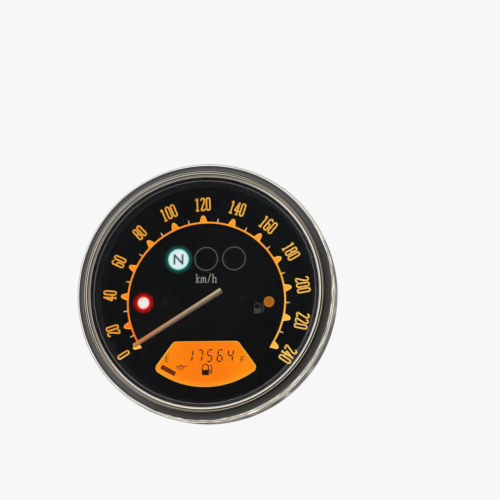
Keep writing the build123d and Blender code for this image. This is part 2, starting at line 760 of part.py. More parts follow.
# ---- export ----------------------------------------------------------------------------------
PARTS = {
    "bezel_ring": bezel_ring(),
    "lens": lens(),
    "lens_gasket": lens_gasket(),
    "protector_film_inner": protector_film(0),
    "protector_film_outer": protector_film(1),
    "front_housing": front_housing(),
    "dial_shroud": dial_shroud(),
    "dial_plate": dial_plate(),
    "light_guide": light_guide(),
    "neutral_lamp_lens": lamp_lens(from_pivot(LAMP_ROW[0]), LAMP_R),
    "dark_lamp_lenses": dark_lamp_lenses(),
    "warning_lamp_lens": lamp_lens(from_pivot(WARNING_LAMP), WARNING_R),
    "fuel_lamp_lens": lamp_lens(from_pivot(FUEL_LAMP), FUEL_R),
    "lcd_glass": lcd_glass(),
    "lcd_frame": lcd_frame(),
    "lcd_diffuser": lcd_diffuser(),
    "lcd_zebra_strips": lcd_zebra_strips(),
    "light_box": light_box(),
    "main_board": main_board(),
    "board_screws": board_screws(),
    "indicator_leds": indicator_leds(),
    "backlight_leds": backlight_leds(),
    "microcontroller": microcontroller(),
    "regulator": regulator(),
    "capacitors": capacitors(),
    "board_resistors": board_resistors(),
    "motor_case_front": motor_case_front(),
    "motor_case_rear": motor_case_rear(),
    "stator_core": stator_core(),
    "motor_coils": motor_coils(),
    "motor_pins": motor_pins(),
    "rotor_magnet": rotor_magnet(),
    "rotor_pinion": rotor_pinion(),
    "intermediate_gear": intermediate_gear(),
    "pointer_shaft": pointer_shaft(),
    "pointer_hub": pointer_hub(),
    "pointer": pointer(),
    "rear_case": rear_case(),
    "case_seal": case_seal(),
    "case_screws": case_screws(),
    "mount_studs": mount_studs(),
    "connector_shell": connector_shell(),
    "connector_pins": connector_pins(),
    "breather_vent": breather_vent(),
    "vent_membrane": vent_membrane(),
    "mode_button": mode_button(),
    "button_seal": button_seal(),
    "button_switch": button_switch(),
    "switch_plunger": switch_plunger(),
}

os.makedirs("parts", exist_ok=True)
for name, shape in PARTS.items():
    export_step(Rot(90, 0, 0) * shape, f"parts/{name}.step")
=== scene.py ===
"""Visual model of a round motorcycle instrument cluster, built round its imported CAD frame.

The modelling is done in the dial's own frame, in millimetres: X to 3 o'clock, Y to 12 o'clock
and Z towards the rider, with Z 0 at the seats of the mounting bosses. Each finished piece is then
turned into the CAD frame, where the dial faces -Y and 12 o'clock is at +Z.
"""

import json
from math import atan2, cos, degrees, hypot, pi, radians, sin, tan

import bpy
from bpy.props import FloatProperty, FloatVectorProperty, IntProperty, PointerProperty
from mathutils import Matrix, Vector

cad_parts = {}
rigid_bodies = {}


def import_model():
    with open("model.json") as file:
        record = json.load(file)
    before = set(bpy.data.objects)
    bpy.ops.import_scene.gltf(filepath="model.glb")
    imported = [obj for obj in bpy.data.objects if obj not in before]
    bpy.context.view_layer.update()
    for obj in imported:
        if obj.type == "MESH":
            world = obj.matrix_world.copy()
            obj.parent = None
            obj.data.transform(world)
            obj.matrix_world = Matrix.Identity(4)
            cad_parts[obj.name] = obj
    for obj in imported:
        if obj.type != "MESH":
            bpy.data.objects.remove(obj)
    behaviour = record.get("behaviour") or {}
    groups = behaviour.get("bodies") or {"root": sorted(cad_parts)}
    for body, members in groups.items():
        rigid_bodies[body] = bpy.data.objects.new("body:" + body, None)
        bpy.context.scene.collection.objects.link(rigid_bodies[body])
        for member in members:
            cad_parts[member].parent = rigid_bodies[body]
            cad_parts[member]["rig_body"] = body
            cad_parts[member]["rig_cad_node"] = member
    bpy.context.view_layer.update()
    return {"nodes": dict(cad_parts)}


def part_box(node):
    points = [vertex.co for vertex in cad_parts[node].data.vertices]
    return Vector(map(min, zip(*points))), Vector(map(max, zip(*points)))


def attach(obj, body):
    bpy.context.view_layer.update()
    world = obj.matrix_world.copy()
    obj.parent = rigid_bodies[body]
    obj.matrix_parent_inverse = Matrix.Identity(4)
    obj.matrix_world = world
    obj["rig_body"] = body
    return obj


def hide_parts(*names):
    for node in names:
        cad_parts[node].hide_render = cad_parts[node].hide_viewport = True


bl_info = {
    "name": "Motorcycle Instrument Cluster",
    "version": (1, 0, 0),
    "blender": (4, 5, 0),
    "location": "View3D > Sidebar > Gauge",
    "description": "Chrome ring, dial, display, lamps, pointer and rear of a round speedometer",
    "category": "Object",
}

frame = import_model()
MM = 0.001

# ---- places worked out from the frame --------------------------------------------------------


def outer_radius(node):
    """Half the width of a round CAD node, in millimetres."""
    low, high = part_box(node)
    return (high.x - low.x) / 2 / MM


def height(node, side):
    """Height of a CAD node up the dial's axis in millimetres: side 0 is its back, 1 its front."""
    low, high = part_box(node)
    return (-high.y if side == 0 else -low.y) / MM


def centre(node):
    """Centre of a CAD node on the dial, in millimetres."""
    low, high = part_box(node)
    return ((low.x + high.x) / 2 / MM, (low.z + high.z) / 2 / MM)


BEZEL_FRONT = height("bezel_ring", 1)
BEZEL_BACK = height("bezel_ring", 0)
BEZEL_R = round(outer_radius("bezel_ring"), 1)
LENS_FRONT = height("lens", 1)
DIAL_FRONT = height("dial_plate", 1)
HOUSING_BACK = height("front_housing", 0)
PIVOT = centre("pointer_hub")
OPENING_R = BEZEL_R - 7.0
DIAL_RECESS = 0.2
RECESS_R = 40.2
RECESS_FRONT = DIAL_FRONT - DIAL_RECESS
SCALE_R = 36.8
ZERO_ANGLE = 212.6
FIRST_STEP = 15.7
STEP_ANGLE = 20.92
STUD_ANGLES = (90.0, 210.0, 330.0)
STUD_CIRCLE = 70.0
PRINT_THICK = 0.05
SCREW_ANGLES = (45.0, 135.0, 225.0, 315.0)


# ---- sizes and colours that a user would change ----------------------------------------------
def colour(name, text, value):
    """Colour property of three parts, without alpha."""
    return FloatVectorProperty(
        name=name, description=text, default=value, size=3, min=0.0, max=1.0, subtype="COLOR"
    )


def length(name, text, value):
    """Length property whose value is in metres."""
    return FloatProperty(
        name=name, description=text, default=value, min=0.0, subtype="DISTANCE", unit="LENGTH"
    )


class GaugeSizes(bpy.types.PropertyGroup):
    """Sizes of the printed dial and of the turned parts."""

    turn_steps: IntProperty(
        name="Turning steps", description="Faces round a large turned part", default=256, min=32
    )
    round_radius: length("Band radius", "Radius of the chrome band's sweep", 5.6 * MM)
    scale_line: length("Scale line", "Width of the scale's arc", 0.78 * MM)
    numeral_height: length("Numeral height", "Height of the speed numerals", 6.5 * MM)
    numeral_radius: length("Numeral radius", "Distance of the numerals from the pivot", 45.5 * MM)
    odometer_height: length("Odometer height", "Height of the odometer's digits", 5.3 * MM)
    floor_drop: length("Floor", "Depth of the floor below the bezel's axis", 0.15)


class GaugeColours(bpy.types.PropertyGroup):
    """Colours of the dial, its prints, the lamps and the materials."""

    chrome: colour("Chrome", "Plated ring", (0.86, 0.85, 0.83))
    # The band's darker colour is a painted reflection of a dark room on the plating.
    chrome_band: colour("Band", "Darker swept band of the plated ring", (0.072, 0.072, 0.074))
    dial: colour("Dial", "Black dial sheet", (0.014, 0.014, 0.0145))
    print_yellow: colour("Print edge", "Outline of the numerals", (1.0, 0.62, 0.10))
    print_orange: colour("Print fill", "Fill of the numerals and markers", (1.0, 0.28, 0.012))
    print_red: colour("Slow zone", "Arc at the slow end of the scale", (1.0, 0.11, 0.004))
    print_cream: colour("Ticks", "Short ticks", (1.0, 0.70, 0.30))
    print_grey: colour("Legends", "Unlit legends and lamp rings", (0.20, 0.18, 0.15))
    pointer: colour("Pointer", "Painted pointer", (0.62, 0.46, 0.27))
    warning: colour("Warning lamp", "Glow of the warning lamp", (1.0, 0.01, 0.008))
    fuel: colour("Fuel lamp", "Dim fuel lamp", (0.62, 0.17, 0.01))
    display: colour("Display", "Backlit display", (1.0, 0.19, 0.0))
    display_ink: colour("Segments", "Dark display segments", (0.055, 0.016, 0.011))
    plastic: colour("Case", "Moulded rear case", (0.022, 0.022, 0.024))
    steel: colour("Steel", "Plated studs and screws", (0.60, 0.60, 0.58))
    floor: colour("Floor", "Studio floor", (0.82, 0.82, 0.82))


def sizes():
    """The scene's sizes."""
    return bpy.context.scene.gauge_sizes


def colours():
    """The scene's colours."""
    return bpy.context.scene.gauge_colours


# ---- modelling -------------------------------------------------------------------------------
def deselect():
    """Leaves nothing selected or active, in object mode."""
    if bpy.context.object is not None and bpy.context.object.mode != "OBJECT":
        bpy.ops.object.mode_set(mode="OBJECT")
    for thing in bpy.context.selected_objects:
        thing.select_set(False)
    bpy.context.view_layer.objects.active = None


def only(piece):
    """Makes one object the selected and active one."""
    deselect()
    piece.select_set(True)
    bpy.context.view_layer.objects.active = piece


def edit(piece, mode="VERT"):
    """Opens a mesh in edit mode with nothing selected."""
    only(piece)
    bpy.ops.object.mode_set(mode="EDIT")
    bpy.ops.mesh.select_mode(type=mode)
    bpy.ops.mesh.select_all(action="DESELECT")


def close_edit():
    """Back to object mode."""
    bpy.ops.object.mode_set(mode="OBJECT")


def pick(piece, test):
    """Selects, in edit mode, the vertices whose place in millimetres passes a test."""
    close_edit()
    for vertex in piece.data.vertices:
        vertex.select = test(*(vertex.co / MM))
    bpy.ops.object.mode_set(mode="EDIT")


def weld(gap):
    """Merges the vertices closer than a gap in millimetres and turns every face outwards."""
    bpy.ops.mesh.select_all(action="SELECT")
    bpy.ops.mesh.remove_doubles(threshold=gap * MM)
    bpy.ops.mesh.normals_make_consistent(inside=False)


def turned(name, profile, steps=None, closed=True, at=(0.0, 0.0)):
    """Turned part: a circle at the first (radius, height) is extruded along the profile.

    A closed profile joins its last ring to the first, an open one starts and ends on the axis.
    """
    steps = steps or sizes().turn_steps
    deselect()
    x, y = at[0] * MM, at[1] * MM
    first_r, first_z = profile[0]
    bpy.ops.mesh.primitive_circle_add(
        vertices=steps, radius=first_r * MM, location=(x, y, first_z * MM)
    )
    piece = bpy.context.object
    bpy.ops.object.transform_apply(location=True, rotation=True, scale=True)
    edit(piece, "EDGE")
    bpy.ops.mesh.select_all(action="SELECT")
    if not closed:
        bpy.ops.mesh.edge_face_add()
    rings = list(profile) + ([profile[0]] if closed else [])
    for (radius, level), (new_radius, new_level) in zip(rings, rings[1:]):
        bpy.ops.mesh.extrude_region_move(
            TRANSFORM_OT_translate={"value": (0, 0, (new_level - level) * MM)}
        )
        ratio = new_radius / radius
        bpy.ops.transform.resize(value=(ratio, ratio, 1), center_override=(x, y, new_level * MM))
    weld(0.002)
    close_edit()
    piece.name = name
    return piece


def arc_points(centre_point, radius, start, end, count):
    """Points of an arc between two angles in degrees, both ends included."""
    return [
        (
            centre_point[0] + radius * cos(radians(start + (end - start) * step / count)),
            centre_point[1] + radius * sin(radians(start + (end - start) * step / count)),
        )
        for step in range(count + 1)
    ]


def bevel(piece, width, angle):
    """Rounds the edges sharper than an angle in degrees by a width in millimetres."""
    only(piece)
    modifier = piece.modifiers.new("Bevel", "BEVEL")
    modifier.width = width * MM
    modifier.segments = 2
    modifier.limit_method = "ANGLE"
    modifier.angle_limit = radians(angle)
    bpy.ops.object.modifier_apply(modifier=modifier.name)
    return piece


def join(name, pieces):
    """Joins objects into one piece."""
    only(pieces[0])
    for piece in pieces[1:]:
        piece.select_set(True)
    if len(pieces) > 1:
        bpy.ops.object.join()
    joined = bpy.context.object
    joined.name = name
    return joined


def copy_of(piece):
    """Copy of an object, with its own mesh."""
    twin = piece.copy()
    twin.data = piece.data.copy()
    bpy.context.scene.collection.objects.link(twin)
    return twin


def turn_into_place(piece, angle=0.0, at=(0.0, 0.0), level=0.0):
    """Turns a piece about Z by an angle in degrees, moves it, and applies both."""
    only(piece)
    shift = Matrix.Translation((at[0] * MM, at[1] * MM, level * MM))
    piece.matrix_world = shift @ Matrix.Rotation(radians(angle), 4, "Z")
    bpy.ops.object.transform_apply(location=True, rotation=True, scale=True)
    return piece


def repeated(name, first, places):
    """Copies of a piece at (angle, point, level) places, joined in its stead."""
    copies = [turn_into_place(copy_of(first), *place) for place in places]
    bpy.data.objects.remove(first)
    return join(name, copies)


def hand_over(piece, name, body, slot, material, *nodes, sharp=32.0, stand=True):
    """Finishes a piece: stands it in the CAD frame, shades it, and tells the frame about it."""
    only(piece)
    if stand:
        piece.matrix_world = Matrix.Rotation(pi / 2, 4, "X") @ piece.matrix_world
    bpy.ops.object.transform_apply(location=True, rotation=True, scale=True)
    bpy.ops.object.shade_smooth_by_angle(angle=radians(sharp))
    piece.name = name
    piece.data.name = name
    piece.data.materials.clear()
    piece.data.materials.append(material)
    if nodes:
        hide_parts(*nodes)
    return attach(piece, body)


def lay(piece, name, level, material, slot="dial_black"):
    """Lays a flat print at a height on the dial or the display."""
    turn_into_place(piece, level=level)
    hand_over(piece, name, "cluster", slot, material, sharp=60.0)


def softened_copy(node, width):
    """Merged copy of a CAD node with its sharp edges rounded by a width in millimetres."""
    piece = copy_of(frame["nodes"][node])
    piece.parent = None
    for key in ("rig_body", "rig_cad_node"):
        del piece[key]
    edit(piece)
    bpy.ops.mesh.select_all(action="SELECT")
    bpy.ops.mesh.remove_doubles(threshold=0.0005 * MM)
    bpy.ops.mesh.dissolve_limited(angle_limit=radians(0.5))
    close_edit()
    return bevel(piece, width, 35.0)


def refinish(material, *nodes):
    """Gives CAD nodes a better material."""
    for node in nodes:
        mesh = frame["nodes"][node].data
        mesh.materials.clear()
        mesh.materials.append(material)


# ---- flat prints -----------------------------------------------------------------------------
def new_curve(name, dimensions, lines):
    """Curve object with a polyline of each (points, loop), in millimetres."""
    data = bpy.data.curves.new(name, "CURVE")
    data.dimensions = dimensions
    for points, loop in lines:
        spline = data.splines.new("POLY")
        spline.points.add(len(points) - 1)
        for point, (x, y) in zip(spline.points, points):
            point.co = (x * MM, y * MM, 0.0, 1.0)
        spline.use_cyclic_u = loop
    thing = bpy.data.objects.new(name, data)
    bpy.context.scene.collection.objects.link(thing)
    return thing


def as_mesh(thing):
    """Turns a curve into a closed mesh and leaves it in edit mode."""
    only(thing)
    bpy.ops.object.convert(target="MESH")
    edit(bpy.context.object)
    weld(0.001)
    return bpy.context.object


def split_at_corners(points, loop, reach):
    """Cuts a line at its sharp corners, so that each straight part keeps its width."""
    runs, run = [], [points[0]]
    path = points + [points[0]] if loop else points
    sharp = False
    for index in range(1, len(path)):
        run.append(path[index])
        follow = path[index + 1] if index + 1 < len(path) else (path[1] if loop else None)
        if follow is None:
            break
        ahead = atan2(follow[1] - path[index][1], follow[0] - path[index][0])
        before = atan2(path[index][1] - path[index - 1][1], path[index][0] - path[index - 1][0])
        turn = abs((ahead - before + pi) % (2 * pi) - pi)
        if turn > radians(40.0):
            sharp = True
            runs.append(run)
            run = [path[index]]
    if len(run) > 1:
        runs.append(run)
    if not sharp:
        return [(points, loop)]
    return [(lengthened(part, reach), False) for part in runs if len(part) > 1]


def lengthened(points, reach):
    """A line made longer by a reach at both ends."""
    (ax, ay), (bx, by) = points[0], points[1]
    (cx, cy), (dx, dy) = points[-1], points[-2]
    start, end = hypot(ax - bx, ay - by), hypot(cx - dx, cy - dy)
    first = (ax + (ax - bx) / start * reach, ay + (ay - by) / start * reach)
    final = (cx + (cx - dx) / end * reach, cy + (cy - dy) / end * reach)
    return [first] + points[1:-1] + [final]


def stroke_print(name, strokes, width):
    """Raised print of (points, loop) strokes, as flat rounded lines of one width."""
    parts = []
    for points, loop in strokes:
        parts += split_at_corners(points, loop, width * 0.3)
    curve = new_curve(name, "3D", parts)
    curve.data.bevel_depth = width / 2 * MM
    curve.data.bevel_resolution = 2
    curve.data.use_fill_caps = True
    piece = as_mesh(curve)
    bpy.ops.transform.resize(value=(1, 1, PRINT_THICK / width), center_override=(0, 0, 0))
    close_edit()
    return piece


def shape_print(name, outline):
    """Raised print with a closed outline of (x, y) points."""
    curve = new_curve(name, "2D", [(outline, True)])
    curve.data.fill_mode = "BOTH"
    curve.data.extrude = PRINT_THICK / 2 * MM
    piece = as_mesh(curve)
    close_edit()
    return piece


def box_outline(left, right, low, high):
    """Corners of a rectangle."""
    return [(left, low), (right, low), (right, high), (left, high)]


def line(*points):
    """Stroke through (x, y) points that stays open."""
    return (list(points), False)


def pill(low, high, left, right):
    """Upright loop with round ends between two heights and two sides."""
    half = (right - left) / 2
    middle = (left + right) / 2
    top = arc_points((middle, high - half), half, 0, 180, 8)
    bottom = arc_points((middle, low + half), half, 180, 360, 8)
    return top + bottom


def numeral_strokes(digit):
    """Strokes of a narrow slab numeral one unit high, centred on its width."""
    half = 0.125
    crown = (0.0, 0.94 - half)
    return {
        "0": [(pill(0.06, 0.94, -half, half), True)],
        "1": [
            line((0.0, 0.07), (0.0, 0.93)),
            line((-0.12, 0.80), (0.0, 0.93)),
            line((-0.12, 0.05), (0.12, 0.05)),
        ],
        "2": [
            line(*arc_points(crown, half, 200, -20, 10), (half * 0.9, 0.68), (-half, 0.08)),
            line((-half, 0.06), (half, 0.06)),
            line((half + 0.01, 0.06), (half + 0.02, 0.17)),
        ],
        "4": [
            line((0.05, 0.07), (0.05, 0.93), (-half - 0.02, 0.32), (half + 0.05, 0.32)),
            line((-0.04, 0.05), (0.13, 0.05)),
        ],
        "6": [
            (pill(0.06, 0.58, -half, half), True),
            line(*arc_points(crown, half, 10, 180, 10), (-half, 0.30)),
        ],
        "8": [
            (pill(0.06, 0.52, -half, half), True),
            (pill(0.49, 0.94, -half * 0.9, half * 0.9), True),
        ],
    }[digit]


def placed(strokes, scale, shift, slant=0.0):
    """Strokes scaled, slanted and moved."""
    return [
        ([(shift[0] + (x + slant * y) * scale, shift[1] + y * scale) for x, y in points], loop)
        for points, loop in strokes
    ]


def turned_points(strokes, angle, at):
    """Strokes turned about the origin by an angle in degrees and then moved."""
    c, s = cos(radians(angle)), sin(radians(angle))
    return [
        ([(at[0] + c * x - s * y, at[1] + s * x + c * y) for x, y in points], loop)
        for points, loop in strokes
    ]


def from_pivot(radius, angle):
    """Point of the dial at a radius and an angle in degrees from the pivot."""
    return (PIVOT[0] + radius * cos(radians(angle)), PIVOT[1] + radius * sin(radians(angle)))


def speed_angle(speed):
    """Direction of a speed on the scale in degrees; the first 20 km/h take less of it."""
    if speed <= 20:
        return ZERO_ANGLE - FIRST_STEP * speed / 20
    return ZERO_ANGLE - FIRST_STEP - STEP_ANGLE * (speed - 20) / 20


# ---- shading ---------------------------------------------------------------------------------
MIX_FIRST, MIX_SECOND, MIX_RESULT = 6, 7, 2  # colour sockets of a Mix node


class Value:
    """A varying number in a node tree: wraps a socket, and arithmetic on it adds Math nodes."""

    def __init__(self, nodes, socket):
        self.nodes = nodes
        self.socket = socket

    def maths(self, operation, *terms):
        """Math node over the terms."""
        sockets = dict(enumerate(terms))
        return self.nodes.value(0, "ShaderNodeMath", {"operation": operation}, sockets)

    def __add__(self, other):
        return self.maths("ADD", self, other)

    def __sub__(self, other):
        return self.maths("SUBTRACT", self, other)

    def __rsub__(self, other):
        return self.maths("SUBTRACT", other, self)

    def __mul__(self, other):
        return self.maths("MULTIPLY", self, other)

    def __truediv__(self, other):
        return self.maths("DIVIDE", self, other)

    def __pow__(self, other):
        return self.maths("POWER", self, other)

    __radd__ = __add__

    def between(self, low, high):
        """0 below low, 1 above high, smooth between them."""
        return self.nodes.value(
            0, "ShaderNodeMapRange", {"interpolation_type": "SMOOTHSTEP"},
            {"Value": self, "From Min": low, "From Max": high},
        )

    def ramp(self, *stops):
        """Colours at (position, colour) stops; one number stands for a grey."""
        node = self.nodes.node("ShaderNodeValToRGB", {"stops": stops}, {"Fac": self})
        return node.outputs["Color"]


class Nodes:
    """A node tree being filled, and the coordinates that its patterns follow."""

    def __init__(self, tree, coordinates):
        self.tree = tree
        self.place = self.node("ShaderNodeTexCoord").outputs[coordinates]

    def node(self, kind, settings=None, sockets=None):
        """Adds a node: its settings first, then its socket values or links."""
        made = self.tree.nodes.new(kind)
        for name, value in (settings or {}).items():
            if name == "stops":
                self.set_stops(made.color_ramp, value)
            else:
                setattr(made, name, value)
        for name, value in (sockets or {}).items():
            self.plug(made, name, value)
        return made

    def value(self, output, kind, settings=None, sockets=None):
        """Adds a node and gives one of its outputs as a varying number."""
        return Value(self, self.node(kind, settings, sockets).outputs[output])

    @staticmethod
    def set_stops(ramp, stops):
        """Fills a colour ramp."""
        while len(ramp.elements) < len(stops):
            ramp.elements.new(1.0)
        for element, (position, shade) in zip(ramp.elements, stops):
            element.position = position
            element.color = (*((shade,) * 3 if isinstance(shade, float) else shade), 1.0)

    def plug(self, node, name, value):
        """Sets or links one input."""
        socket = node.inputs[name]
        if isinstance(value, Value):
            self.tree.links.new(value.socket, socket)
        elif isinstance(value, bpy.types.NodeSocket):
            self.tree.links.new(value, socket)
        elif socket.type == "RGBA":
            socket.default_value = (*value[:3], 1.0)
        else:
            socket.default_value = value

    def axes(self, scale=1000.0):
        """The place as across, depth and height values; the scale makes them millimetres."""
        split = self.node("ShaderNodeSeparateXYZ", None, {0: self.place})
        return [Value(self, split.outputs[axis]) * scale for axis in "XYZ"]

    def noise(self, scale, detail=3.0, stretch=(1.0, 1.0, 1.0)):
        """Noise over the place; scale is in cycles per metre."""
        mapped = self.node("ShaderNodeMapping", None, {"Vector": self.place, "Scale": stretch})
        sockets = {"Vector": mapped.outputs[0], "Scale": scale, "Detail": detail, "Roughness": 0.55}
        return self.value("Fac", "ShaderNodeTexNoise", None, sockets)

    def mix(self, factor, first, second):
        """Mixes two colours."""
        sockets = {"Factor": factor, MIX_FIRST: first, MIX_SECOND: second}
        node = self.node("ShaderNodeMix", {"data_type": "RGBA"}, sockets)
        return node.outputs[MIX_RESULT]

    def show(self, output, factor, first, second):
        """Surface of the first shader where the factor is 0, and of the second where it is 1."""
        sockets = {0: factor, 1: first.outputs[0], 2: second.outputs[0]}
        mixed = self.node("ShaderNodeMixShader", None, sockets)
        self.plug(output, "Surface", mixed.outputs[0])


class Finish(Nodes):
    """A material being made, round its principled shader."""

    def __init__(self, name, base=None, **constants):
        self.material = bpy.data.materials.new(name)
        self.material.use_nodes = True
        super().__init__(self.material.node_tree, "Object")
        self.shader = self.tree.nodes["Principled BSDF"]
        if base is not None:
            self.base(base)
        for key, value in constants.items():
            self.plug(self.shader, key.replace("_", " ").title().replace("Ior", "IOR"), value)

    def radius(self, at=(0.0, 0.0)):
        """Distance from a point of the dial in millimetres."""
        x, _, z = self.axes()
        across, up = x - at[0], z - at[1]
        return (across * across + up * up) ** 0.5

    def bearing(self, at):
        """Share of a turn round a point of the dial, 0 and 1 at 9 o'clock, 0.5 at 3 o'clock."""
        x, _, z = self.axes()
        return (x.maths("ARCTAN2", z - at[1], x - at[0]) / (2 * pi)) + 0.5

    def fresnel(self, ior):
        """Share of light that a clear surface mirrors."""
        return self.value(0, "ShaderNodeFresnel", None, {"IOR": ior})

    def base(self, shade):
        """Sets or drives the shader's base colour."""
        self.plug(self.shader, "Base Color", shade)

    def bump(self, value, strength, distance=0.02):
        """Drives the shader's normal from a height; distance is in millimetres."""
        sockets = {"Height": value, "Strength": strength, "Distance": distance * MM}
        node = self.node("ShaderNodeBump", None, sockets)
        self.plug(self.shader, "Normal", node.outputs[0])

    def roughness(self, value):
        """Drives the shader's roughness."""
        self.plug(self.shader, "Roughness", value)

    def glow(self, shade, strength):
        """Light given out."""
        self.plug(self.shader, "Emission Color", shade)
        self.plug(self.shader, "Emission Strength", strength)

    def clear(self, factor, top=None, tint=(1.0, 1.0, 1.0)):
        """Lets light straight through where the factor is 0, and shows the shader where it is 1."""
        see_through = self.node("ShaderNodeBsdfTransparent", None, {"Color": tint})
        self.show(self.tree.nodes["Material Output"], factor, see_through, top or self.shader)


def dim(shade, share):
    """A colour darkened to a share."""
    return tuple(part * share for part in shade)


def chrome_finish():
    """Bright plating: faint ripple, fine wipe marks, a little haze, and a swept band darkened as a
    painted reflection.
    """
    finish = Finish("chrome", base=colours().chrome, metallic=1.0, roughness=0.05)
    haze = finish.noise(60.0, 4.0)
    wipes = finish.noise(900.0, 4.0, stretch=(1.0, 0.15, 1.0))
    finish.roughness(0.035 + haze * 0.05 + wipes.between(0.62, 0.8) * 0.05)
    bright = haze.ramp((0.3, dim(colours().chrome, 0.94)), (0.7, colours().chrome))
    ring = finish.radius()
    # Painted reflection: the swept band's base colour is darkened to show a dark room mirrored in
    # it.
    band_inside, band_outside = (55.25, 55.6), (58.35, 58.65)
    band = ring.between(*band_inside) - ring.between(*band_outside)
    finish.base(finish.mix(band, bright, colours().chrome_band))
    finish.bump(finish.noise(25.0, 2.0), 0.05, 0.1)
    return finish.material


def glass_finish():
    """Clear window: mirror at grazing angles, a trace of dust."""
    finish = Finish("clear_glass")
    gloss = finish.node("ShaderNodeBsdfGlossy", None, {"Color": (1.0, 1.0, 1.0), "Roughness": 0.03})
    dust = finish.noise(2200.0, 2.0).between(0.70, 0.78)
    finish.clear(finish.fresnel(1.45) * 0.25 + dust * 0.002, gloss)
    return finish.material


def film_finish():
    """Thin clear film: faintly tinted face that mirrors at grazing angles, pale cut edge."""
    finish = Finish("clear_film", base=(0.45, 0.48, 0.53), roughness=0.25)
    rim = outer_radius("protector_film_outer")
    at_edge = finish.radius().between(rim - 0.14, rim - 0.05)
    mirror = finish.fresnel(1.4) * 0.05
    cloud = finish.noise(14.0, 2.0) * 0.003
    finish.clear(mirror + cloud + at_edge * 0.30, tint=(0.968, 0.975, 0.985))
    return finish.material


def dial_finish():
    """Black printed sheet: fine grain, soft sheen, lighter inside the recess, cloudy patches of
    painted reflection, and a satin border ring at the edge whose lighter colour is a painted
    highlight.
    """
    finish = Finish("dial_black", specular_ior_level=0.15)
    ring = finish.radius()
    border = ring.between(49.5, 49.75)
    grain = finish.noise(3800.0, 2.0)
    cloud = finish.noise(22.0, 3.0)
    inner = finish.radius(PIVOT).between(RECESS_R - 0.05, RECESS_R + 0.05)
    face = finish.mix(inner, dim(colours().dial, 1.35), colours().dial)
    # Painted reflection: cloudy darker patches in the base colour stand for soft reflections on the
    # sheet.
    clouded_reflection = finish.mix(cloud.between(0.25, 0.8), dim(colours().dial, 0.75), face)
    # Painted highlight: the border ring's lighter colour stands for light caught on it; its lower
    # roughness is the satin finish.
    finish.base(finish.mix(border, clouded_reflection, (0.055, 0.055, 0.058)))
    finish.roughness(0.50 + grain * 0.08 - border * 0.15)
    finish.bump(grain, 0.05, 0.004)
    return finish.material


def moulded_finish(name, shade, roughness=0.5, scale=1500.0, strength=0.35):
    """Moulded plastic or rubber: fine pitted grain, and rubbed and dusty patches."""
    finish = Finish(name, specular_ior_level=0.4)
    grain = finish.noise(scale, 3.0)
    rub = finish.noise(45.0, 4.0)
    finish.base(rub.ramp((0.3, dim(shade, 0.8)), (0.6, shade), (0.85, dim(shade, 1.5))))
    finish.roughness(roughness - 0.08 + grain * 0.12 + rub * 0.08)
    finish.bump(grain, strength, 0.02)
    return finish.material


def metal_finish(name, shade, roughness=0.3, stretch=(1.0, 1.0, 1.0), scale=1200.0):
    """Plated or drawn metal: fine lines one way, darker tarnish in patches."""
    finish = Finish(name, metallic=1.0)
    lines = finish.noise(scale, 4.0, stretch=stretch)
    tarnish = finish.noise(90.0, 4.0)
    finish.base(tarnish.ramp((0.3, dim(shade, 0.7)), (0.62, shade), (0.9, dim(shade, 1.08))))
    finish.roughness(roughness - 0.05 + lines * 0.12 + tarnish * 0.08)
    finish.bump(lines, 0.2, 0.01)
    return finish.material


def speed_glow(name, edge, strength):
    """Backlit print whose colour runs from red at the slow end to yellow at the fast end."""
    finish = Finish(name, roughness=0.5)
    c = colours()
    stops = (
        (0.0, c.print_red), (0.12, c.print_orange), (0.28, c.print_orange),
        (0.52, (1.0, 0.36, 0.02)), (0.62, (1.0, 0.52, 0.06)),
    )
    if edge:
        stops = (
            (0.02, (1.0, 0.47, 0.045)), (0.30, (1.0, 0.50, 0.05)),
            (0.45, c.print_yellow), (0.70, (1.0, 0.68, 0.16)),
        )
    way = 1.0 - finish.bearing(PIVOT) + 0.09
    mottle = finish.noise(260.0, 2.0).between(0.35, 0.65) * 0.25
    shade = finish.mix(mottle, way.maths("FRACT", way).ramp(*stops), dim(c.print_orange, 0.9))
    finish.base(dim(c.print_orange, 0.5))
    finish.glow(shade, strength)
    return finish.material


def even_glow(name, shade, strength, scale=500.0):
    """Print with a little mottle that glows evenly at a strength: the light of a backlit print, and
    painted light on an unlit legend.
    """
    finish = Finish(name, roughness=0.5)
    mottle = finish.noise(scale, 2.0)
    blotched = mottle.ramp((0.3, dim(shade, 0.82)), (0.7, shade))
    finish.base(blotched)
    if strength:
        finish.glow(blotched, strength)
    return finish.material


def lamp_finish(name, at, stops, reach, strength):
    """Lit lens: colours by the distance from its centre, as a share of its reach."""
    finish = Finish(name, roughness=0.25, coat_weight=0.3)
    share = finish.radius(at) / reach
    shade = share.ramp(*stops)
    finish.base(shade)
    finish.glow(shade, strength)
    return finish.material


def halo_finish(name, at, shade, inner, outer, strength, power):
    """Painted pool of light on the dial that fades out from the lens."""
    finish = Finish(name, base=dim(shade, 0.2), roughness=0.6)
    finish.glow(shade, strength)
    fade = 1.0 - finish.radius(at).between(inner, outer)
    finish.clear(fade ** power)
    return finish.material


def display_finish():
    """Backlit display: deep orange in the middle, lighter towards the rim."""
    finish = Finish("lcd_orange", base=(0.25, 0.05, 0.0), roughness=0.3, specular_ior_level=0.1)
    x, _, z = finish.axes()
    out = finish.radius((0.0, PIVOT[1])).between(36.0, 40.0)
    side = (x * x) ** 0.5
    wide = side.between(6.0, 22.0)
    cloud = finish.noise(90.0, 2.0)
    warm = finish.mix(wide * 0.75 + cloud * 0.2, colours().display, (1.0, 0.27, 0.0))
    finish.glow(finish.mix(out * 0.8, warm, (1.0, 0.36, 0.01)), 1.12)
    return finish.material


